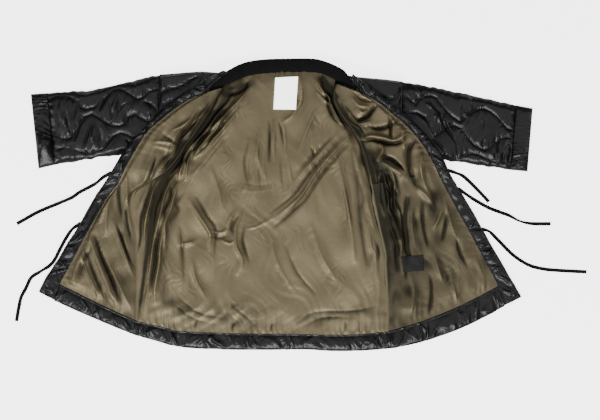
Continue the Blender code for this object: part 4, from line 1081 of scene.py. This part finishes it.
def sleeve(name, form, material):
    """A quilted sleeve with its folds, tucked where it is sewn to the armhole and the cuff."""
    tops, lows = evenly(form.edges.top, SLEEVE_RINGS), evenly(form.edges.low, SLEEVE_RINGS)
    shares = np.linspace(0, 1, SLEEVE_RINGS)
    ends = smooth_step(12 * shares) * smooth_step(12 * (1 - shares))
    scallops = 1.6 * np.abs(np.sin(tops[:, 0] / 21)) + 1.1 * billow(tops[:, 0], 0, 30, SEED + 70)
    tops[:, 1] += ends * scallops - 0.8
    lows[:, 1] += ends * (1.8 * billow(lows[:, 0], 0, 38, SEED + 71))
    width = np.linalg.norm(tops - lows, axis=1)[:, None]
    along = travelled((tops + lows) / 2)[:, None]

    def height(t, flat):
        x, y = flat[..., 0], flat[..., 1]
        relief = quilt_relief(x, y, form.quilting) + fold_relief(x, y, form.folds)
        relief *= smooth_step(9 * t) * smooth_step(9 * (1 - t))
        seam = np.minimum(along, along[-1] - along)
        pull = np.exp(-seam / 10)
        end_tucks = 0.0012 * np.exp(-seam / 14) * uneven_wave(t * width, 3.6, 1.5, 19, form.side)
        low_tucks = 0.0014 * np.exp(-(1 - t) * width / 22) * uneven_wave(x, 5.3, 2, 31)
        tube = tube_height(t, SLEEVE_GROOVE_HEIGHT) * (1 - 0.28 * pull)
        return tube + relief * (1 - pull) + end_tucks + low_tucks

    return flat_tube(name, tops, lows, height, material)


def cuff(name, form, material):
    """The plain band at the sleeve's end, gathered by its stitching."""
    top, low = np.array(form.edges.top[-1]), np.array(form.edges.low[-1])
    shares = np.linspace(0, 1, CUFF_RINGS)[:, None]
    tops = top + (np.array(form.cuff_end.top) - top) * shares
    lows = low + (np.array(form.cuff_end.low) - low) * shares
    width = np.linalg.norm(tops - lows, axis=1)[:, None]
    shape = CUFFS[form.side]

    def height(t, _):
        down = t * width
        puff = np.sin(math.pi * shares) ** 0.5
        gathered = np.exp(-(((t - shape.gathers) / 0.24) ** 2)) + 0.15
        folds = 1.5 * gathered * gathers(down, shares, 4.0 + form.side, 15.0) * np.exp(-shares * 1.8)
        bulge = shape.rise * np.exp(-(((t - shape.bulge) / 0.16) ** 2)) * puff
        body = 0.0112 + 0.0050 * puff + bulge + 0.0062 * folds * np.minimum(1, 9 * shares)
        fine = wrinkles(shares * CUFF_LENGTH, down, 0.0008, 16, 8, SEED + 60)
        return tube_height(t, 1.0) * body + fine

    return flat_tube(name, tops, lows, height, material)


def sewn_edge(front, point):
    """The place on a facing's outer edge nearest to a point, and the front's lift there."""
    edge = front.rows[:, OUTER]
    number = int(np.argmin(np.linalg.norm(edge - np.array(point), axis=1)))
    return edge[number], front.rows[number, LIFT] * MM


def tie_path(name, fronts):
    """A tie's route, with its turn about itself and its height at each point."""
    side, route = TIES[name]
    foot, lift = sewn_edge(fronts[0] if side < 0 else fronts[1], route[0])
    points = evenly([foot, *route[1:]], TIE_POINTS)
    run = travelled(points) * MM
    turn = np.zeros(len(run))
    for twist in TWISTS[name]:
        turn += math.radians(twist.turn) * np.exp(-(((run - twist.at) / twist.run) ** 2))
    rise = (lift + WALL / 2) * (1 - smooth_step(run / TIE_DROP))
    rise = rise + TIE_CLOTH / 2 + TIE_WIDTH / 2 * np.abs(np.sin(turn))
    wave = 0.0008 * (1 + np.sin(run / 0.011 + side))
    return points, turn, rise + wave * smooth_step(run / TIE_DROP)


def tie(name, fronts, material):
    """A woven tape that leaves the facing's edge, turns on edge in places and lies down."""
    points, turn, rise = tie_path(name, fronts)
    along = np.gradient(points, axis=0)
    along /= np.linalg.norm(along, axis=1, keepdims=True)
    sideways = np.stack([along[:, 1], -along[:, 0]], axis=1)
    half = TIE_WIDTH / 2
    lines = []
    for share, face in TAPE_SECTION:
        reach = half * share * np.cos(turn) - face * TIE_CLOTH / 2 * np.sin(turn)
        height = rise + half * share * np.sin(turn) + face * TIE_CLOTH / 2 * np.cos(turn)
        flat = points * MM + sideways * reach[:, None]
        lines.append(np.concatenate([flat, np.maximum(height, 0.0002)[:, None]], axis=1))
    grid = np.stack(lines, axis=1)
    rows, columns = grid.shape[:2]
    faces = grid_faces(rows, columns)
    faces.append(tuple(range(columns - 1)))
    faces.append(tuple(range((rows - 1) * columns, rows * columns - 1))[::-1])
    obj = mesh_object(f"{name}_tape", grid.reshape(-1, 3), faces, material)
    return obj


def upper_side(obj, point):
    """The place on a piece's upper side at a point of the plane in millimetres, or None."""
    above = Vector((*(np.asarray(point) * MM), 1.0))
    found, place, _, _ = obj.ray_cast(above, Vector((0, 0, -1)))
    return place if found else None


def label(name, corners, lining, material, rows=46, columns=34):
    """A woven label that lies on a lining and follows it."""
    top_left, top_right, low_right, low_left = np.array(corners, float)
    v = np.linspace(0, 1, rows)[:, None, None]
    u = np.linspace(0, 1, columns)[None, :, None]
    flat = (1 - v) * ((1 - u) * top_left + u * top_right) + v * ((1 - u) * low_left + u * low_right)
    height = np.array([[upper_side(lining, point).z for point in row] for row in flat])
    for _ in range(30):
        height = np.maximum(height, neighbours_mean(height))
    u, v = u[..., 0], v[..., 0]
    sewn = smooth_step(6 * np.minimum(u, 1 - u)) * smooth_step(6 * np.minimum(v, 1 - v))
    grid = lifted(flat, height + 0.0008 + 0.0008 * sewn)
    obj = sheet_object(name, grid, material)
    thickness = obj.modifiers.new("cloth", "SOLIDIFY")
    thickness.thickness = LABEL_THICKNESS
    thickness.offset = 1
    return obj


def stitches(name, lines, material):
    """Rows of small stitches: each line is a list of points in the row frame."""
    points, faces = [], []
    up = np.array([0, 0, STITCH_WIDTH / 2])
    for line in map(np.asarray, lines):
        run = travelled(line)
        for at in np.arange(STITCH_PITCH / 2, run[-1] - STITCH_LENGTH, STITCH_PITCH):
            ends = [np.array([np.interp(at + reach, run, line[:, k]) for k in range(3)])
                    for reach in (0, STITCH_LENGTH)]
            along = (ends[1] - ends[0]) / max(np.linalg.norm(ends[1] - ends[0]), 1e-9)
            across = np.cross(along, (0, 0, 1)) * STITCH_WIDTH / 2
            middle = (ends[0] + ends[1]) / 2
            first = len(points)
            points += [ends[0], middle + across, middle - across, ends[1], middle + up, middle - up]
            faces += (first + np.array(STITCH_FACES)).tolist()
    return mesh_object(name, points, faces, material)


# Materials.


class Nodes:
    """Short calls for a material's nodes."""

    def __init__(self, name, colour, roughness):
        self.material = bpy.data.materials.new(name)
        self.material.use_nodes = True
        self.tree = self.material.node_tree
        self.shader = self.tree.nodes["Principled BSDF"]
        self.set("Base Color", (*colour, 1))
        self.set("Roughness", roughness)
        self.place = self.tree.nodes.new("ShaderNodeTexCoord").outputs["Object"]

    def set(self, name, value):
        """Gives the shader a fixed value."""
        self.shader.inputs[name].default_value = value

    def add(self, kind, inputs=(), **settings):
        """A node with its settings. An input is a value or another node's output."""
        node = self.tree.nodes.new(kind)
        for key, value in settings.items():
            setattr(node, key, value)
        for key, value in dict(inputs).items():
            if isinstance(value, bpy.types.NodeSocket):
                self.tree.links.new(value, node.inputs[key])
            else:
                node.inputs[key].default_value = value
        return node

    def noise(self, scale, detail=4.0, distortion=0.0, stretch=(1, 1, 1)):
        """Uneven patches, of which there are more with a higher scale."""
        placed = self.add("ShaderNodeMapping", {"Vector": self.place, "Scale": stretch})
        return self.add("ShaderNodeTexNoise", {
            "Vector": placed.outputs[0], "Scale": scale, "Detail": detail, "Distortion": distortion,
        }).outputs["Fac"]

    def threads(self, scale, direction):
        """The weave's threads in one direction."""
        return self.add("ShaderNodeTexWave", {"Vector": self.place, "Scale": scale, "Distortion": 0.6,
                                              "Detail": 1.0}, bands_direction=direction).outputs["Fac"]

    def between(self, factor, low, high):
        """A value that follows a factor between two numbers."""
        return self.add("ShaderNodeMapRange", {"Value": factor, "To Min": low, "To Max": high}).outputs[0]

    def blend(self, factor, first, second):
        """A colour that follows a factor from the first one, or an output's, to the second."""
        start = first if isinstance(first, bpy.types.NodeSocket) else (*first, 1)
        colours = {0: factor, 6: start, 7: (*second, 1)}
        return self.add("ShaderNodeMix", colours, data_type="RGBA").outputs[2]

    def bump(self, layers):
        """Bumps over each other: each layer is a height, its strength and its distance."""
        normal = None
        for height, strength, distance in layers:
            inputs = {"Height": height, "Strength": strength, "Distance": distance}
            if normal is not None:
                inputs["Normal"] = normal
            normal = self.add("ShaderNodeBump", inputs).outputs[0]
        self.tree.links.new(normal, self.shader.inputs["Normal"])

    def link(self, output, name):
        """Gives the shader another node's output."""
        self.tree.links.new(output, self.shader.inputs[name])


def nylon():
    """Glossy black taffeta with fine crinkles."""
    m = Nodes("black_nylon_shell", (0.006, 0.006, 0.0065), 0.30)
    m.link(m.between(m.noise(38.0), 0.23, 0.37), "Roughness")
    m.link(m.blend(m.noise(9.0), (0.0045, 0.0045, 0.005), (0.008, 0.008, 0.0085)), "Base Color")
    m.set("Specular IOR Level", 0.37)
    m.bump([
        (m.noise(30.0, 4.0, 1.2), 0.34, 0.0030),
        (m.noise(110.0, 3.0, 0.6), 0.16, 0.0010),
        (m.threads(700.0, "X"), 0.10, 0.0002),
        (m.threads(700.0, "Y"), 0.10, 0.0002),
    ])
    return m.material


def satin():
    """Olive satin, soft and shiny, with fine creases, and painted shade that darkens it in folds, pits and
    valleys.
    """
    m = Nodes("olive_satin_lining", (0.20, 0.16, 0.095), 0.38)
    cloth = m.blend(m.noise(5.0, 3.0), (0.190, 0.156, 0.090), (0.236, 0.195, 0.116))
    # painted shade: a value kept on each point blends the satin's colour towards near black
    hollow = m.add("ShaderNodeAttribute", attribute_name="hollow").outputs["Fac"]
    m.link(m.blend(hollow, cloth, (0.016, 0.015, 0.009)), "Base Color")
    m.link(m.between(m.noise(30.0), 0.46, 0.56), "Roughness")
    m.set("Metallic", 0.75)
    m.set("Specular IOR Level", 0.5)
    m.set("Anisotropic", 0.3)
    m.bump([
        (m.noise(26.0, 4.0, 1.5), 0.26, 0.0030),
        (m.noise(90.0, 3.0, 0.8), 0.16, 0.0010),
        (m.threads(900.0, "X"), 0.08, 0.0002),
        (m.threads(900.0, "Y"), 0.08, 0.0002),
    ])
    return m.material


def tape():
    """Matte woven cotton."""
    m = Nodes("matte_black_tape", (0.005, 0.005, 0.005), 0.92)
    m.link(m.blend(m.noise(60.0), (0.0035, 0.0035, 0.0035), (0.007, 0.007, 0.0075)), "Base Color")
    m.set("Specular IOR Level", 0.2)
    m.set("Sheen Weight", 0.02)
    m.bump([
        (m.threads(330.0, "X"), 0.35, 0.0004),
        (m.threads(330.0, "Y"), 0.35, 0.0004),
        (m.noise(240.0, 3.0), 0.3, 0.0004),
    ])
    return m.material


def thread(name, shade):
    """Twisted sewing thread."""
    m = Nodes(name, (shade, shade, shade), 0.5)
    m.link(m.between(m.noise(300.0), 0.40, 0.60), "Roughness")
    m.bump([(m.threads(900.0, "DIAGONAL"), 0.4, 0.0003)])
    return m.material


def label_cloth(name, dark, light, painted_glow=0.0):
    """A plain woven label, with a glow of painted light where one is given."""
    m = Nodes(name, light, 0.7)
    m.link(m.blend(m.noise(80.0), dark, light), "Base Color")
    m.set("Specular IOR Level", 0.3)
    # painted light: the label glows in its own colour at the given strength
    m.set("Emission Color", (*light, 1))
    m.set("Emission Strength", painted_glow)
    m.bump([
        (m.threads(420.0, "X"), 0.25, 0.0003),
        (m.threads(420.0, "Y"), 0.25, 0.0003),
    ])
    return m.material


def floor_material():
    """A pale floor, bright to the camera, that gives the coat little light."""
    m = Nodes("pale_floor", (0.92, 0.92, 0.92), 0.9)
    m.set("Specular IOR Level", 0.1)
    m.set("Emission Color", (1, 1, 1, 1))
    seen = m.add("ShaderNodeLightPath").outputs["Is Camera Ray"]
    m.link(m.between(seen, FLOOR_BOUNCE, FLOOR_GLOW), "Emission Strength")
    return m.material


# The scene.


def add_camera():
    """A camera straight above, framing what the photograph frames."""
    data = bpy.data.cameras.new("photo_camera")
    data.lens = SENSOR * CAMERA_HEIGHT / (PHOTO_WIDTH * PHOTO_SCALE)
    data.sensor_width = SENSOR
    data.clip_end = 50
    camera = bpy.data.objects.new("photo_camera", data)
    camera.location = (*VIEW_CENTRE, CAMERA_HEIGHT)
    bpy.context.scene.collection.objects.link(camera)
    bpy.context.scene.camera = camera


def add_floor():
    """The surface that the coat lies on."""
    points = [(x * FLOOR_HALF, y * FLOOR_HALF, 0) for x, y in ((-1, -1), (1, -1), (1, 1), (-1, 1))]
    floor = mesh_object("floor", points, [(0, 1, 2, 3)], floor_material())


def add_light(name, place, size, power):
    """A white softbox turned to the coat."""
    data = bpy.data.lights.new(name, "AREA")
    data.shape = "RECTANGLE"
    data.size, data.size_y = size
    data.energy = power
    light = bpy.data.objects.new(name, data)
    light.location = place
    light.rotation_euler = (-Vector(place)).to_track_quat("-Z", "Y").to_euler()
    bpy.context.scene.collection.objects.link(light)


def add_world():
    """A white studio, bright overhead and dark towards the horizon."""
    world = bpy.data.worlds.new("studio")
    world.use_nodes = True
    tree = world.node_tree
    background = tree.nodes["Background"]
    place = tree.nodes.new("ShaderNodeTexCoord").outputs["Generated"]
    axes = tree.nodes.new("ShaderNodeSeparateXYZ")
    tree.links.new(place, axes.inputs[0])
    level = tree.nodes.new("ShaderNodeMapRange")
    levels = {"From Min": 0.55, "From Max": 0.96, "To Min": WORLD_LOW, "To Max": WORLD_TOP}
    for name, value in levels.items():
        level.inputs[name].default_value = value
    tree.links.new(axes.outputs[2], level.inputs["Value"])
    background.inputs["Color"].default_value = (1, 1, 1, 1)
    tree.links.new(level.outputs[0], background.inputs["Strength"])
    bpy.context.scene.world = world


def stand_for(obj, node):
    """Puts a piece in the place of a solid."""
    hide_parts(node)
    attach(obj, "root")


def laid_sheet(obj):
    """Works out how large a piece's surface is when pulled flat, but keeps nothing of it."""
    mesh = obj.data
    points = np.array([v.co.xy for v in mesh.vertices])
    surface = sum(face.area for face in mesh.polygons)
    plan = sum(face.area * abs(face.normal.z) for face in mesh.polygons)
    turns = [np.array([[math.cos(a), -math.sin(a)], [math.sin(a), math.cos(a)]])
             for a in np.radians(np.arange(0, 90, 3))]
    width, length = min((np.ptp(points @ turn, axis=0) for turn in turns), key=np.prod)
    ease = math.sqrt(surface / plan)
    width, length = width * ease, length * ease


def offset_inward(edge, other, distance):
    """An edge moved by a distance towards another one, in millimetres."""
    across = other - edge
    return edge + across / np.linalg.norm(across, axis=1, keepdims=True) * distance


def seam_lines(fronts, pieces):
    """Each row of black stitches on the facings, neck band, sleeves, shoulders and cuffs."""
    inset = FACING_STITCH_IN / MM
    lines = []
    for front in fronts:
        rows = front.rows
        line = offset_inward(rows[:, INNER], rows[:, OUTER], inset)
        lines.append(surface_line(pieces[f"{front.name}_front_facing"], line))
        shares = np.linspace(0.02, 0.98, 60)
        inner, outer = (front.across(rows[number][None], shares) for number in (front.hem, -1))
        lines.append(surface_line(pieces[f"{front.name}_hem_facing"], offset_inward(inner, outer, inset)))
    inner, outer = evenly(BACK_HEM_INNER, 200), evenly(BACK_HEM, 200)
    lines.append(surface_line(pieces["back_hem_facing"], offset_inward(inner, outer, inset)))
    rows = refined(NECK_BAND, 8)
    for share in NECK_STITCHES:
        line = rows[:, NECK_OUTER] + (rows[:, NECK_INNER] - rows[:, NECK_OUTER]) * share
        lines.append(surface_line(pieces["neck_band"], line))
    quilting = (
        ("left_sleeve", LEFT_SLEEVE_QUILTING), ("right_sleeve", RIGHT_SLEEVE_QUILTING),
        ("left_front_shell", LEFT_SHOULDER_QUILTING), ("right_front_shell", RIGHT_SHOULDER_QUILTING),
    )
    for key, courses in quilting:
        for course in courses:
            lines.append(surface_line(pieces[key], refined(course, 6)))
    for name, form in SLEEVES.items():
        top, low = np.array(form.edges.top[-1], float), np.array(form.edges.low[-1], float)
        inset_x = np.array([form.side * CUFF_STITCH_IN / MM, 0])
        shares = np.linspace(0.03, 0.97, 80)[:, None]
        lines.append(surface_line(pieces[f"{name}_cuff"], top + inset_x + (low - top) * shares))
    return [line for line in lines if len(line) > 1]


def label_lines(corners, obj):
    """The stitched line round a label, a little inside its edge."""
    middle = np.mean(corners, axis=0)
    ring = [middle + (np.array(c, float) - middle) * LABEL_STITCH_SHARE for c in (*corners, corners[0])]
    line = np.concatenate([np.linspace(a, b, 14)[:-1] for a, b in zip(ring, ring[1:])])
    return [surface_line(obj, line)]


def surface_line(obj, line):
    """The points of a line in the plane, in millimetres, set on a piece's upper side."""
    out = []
    for point in line:
        place = upper_side(obj, point)
        if place:
            out.append((place.x, place.y, place.z + STITCH_RISE))
    return out


def main():
    add_camera()
    black, olive, matte = nylon(), satin(), tape()
    white = label_cloth("white_label", (0.86, 0.86, 0.84), (0.96, 0.96, 0.94), LABEL_PAINTED_GLOW)
    dark = label_cloth("black_label", (0.010, 0.010, 0.010), (0.020, 0.020, 0.020))
    fronts = (Front(-1, LEFT_FRONT, LEFT_ARMHOLE), Front(1, RIGHT_FRONT, RIGHT_ARMHOLE))
    for name in TIES:
        stand_for(tie(name, fronts, matte), name)
    pieces = {"back_shell": back_shell(fronts, black)}
    cloth = {"back": back_lining(fronts, olive)}
    for front, folds in zip(fronts, (LEFT_FOLDS, RIGHT_FOLDS)):
        lines = LEFT_SHOULDER_QUILTING if front.side < 0 else RIGHT_SHOULDER_QUILTING
        pieces[f"{front.name}_front_shell"] = front_shell(front, lines, black)
        cloth[front.name] = front_lining(front, folds, olive)
        pieces[f"{front.name}_front_facing"] = front_facing(front, black)
        pieces[f"{front.name}_hem_facing"] = front_hem(front, black)
    pieces["back_hem_facing"] = back_hem(black)
    for name, form in SLEEVES.items():
        pieces[f"{name}_sleeve"] = sleeve(f"{name}_sleeve_cloth", form, black)
        pieces[f"{name}_cuff"] = cuff(f"{name}_cuff_cloth", form, black)
    for node, obj in pieces.items():
        stand_for(obj, node)
    for key, obj in cloth.items():
        node = "back_lining" if key == "back" else f"{key}_front_lining"
        stand_for(obj, node)
        under = "back_shell" if key == "back" else f"{key}_front_shell"
        laid_sheet(obj)
    band = neck_band(matte)
    stand_for(band, "neck_band")
    laid_sheet(band)
    pieces["neck_band"] = band
    bpy.context.view_layer.update()
    seams = stitches("black_stitches", seam_lines(fronts, pieces), thread("black_thread", 0.012))
    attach(seams, "root")
    labels = (
        ("neck_label", NECK_LABEL, "back", white, "label_white", 0.62),
        ("care_label", CARE_LABEL, "right", dark, "label_black", 0.014),
    )
    for name, corners, under, material, slot, shade in labels:
        patch = label(f"{name}_cloth", corners, cloth[under], material)
        stand_for(patch, name)
        bpy.context.view_layer.update()
        sewn = stitches(f"{name}_stitches", label_lines(corners, patch), thread(f"{name}_thread", shade))
        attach(sewn, "root")
        laid_sheet(patch)
    add_floor()
    for light in LIGHTS:
        add_light(*light)
    add_world()


main()
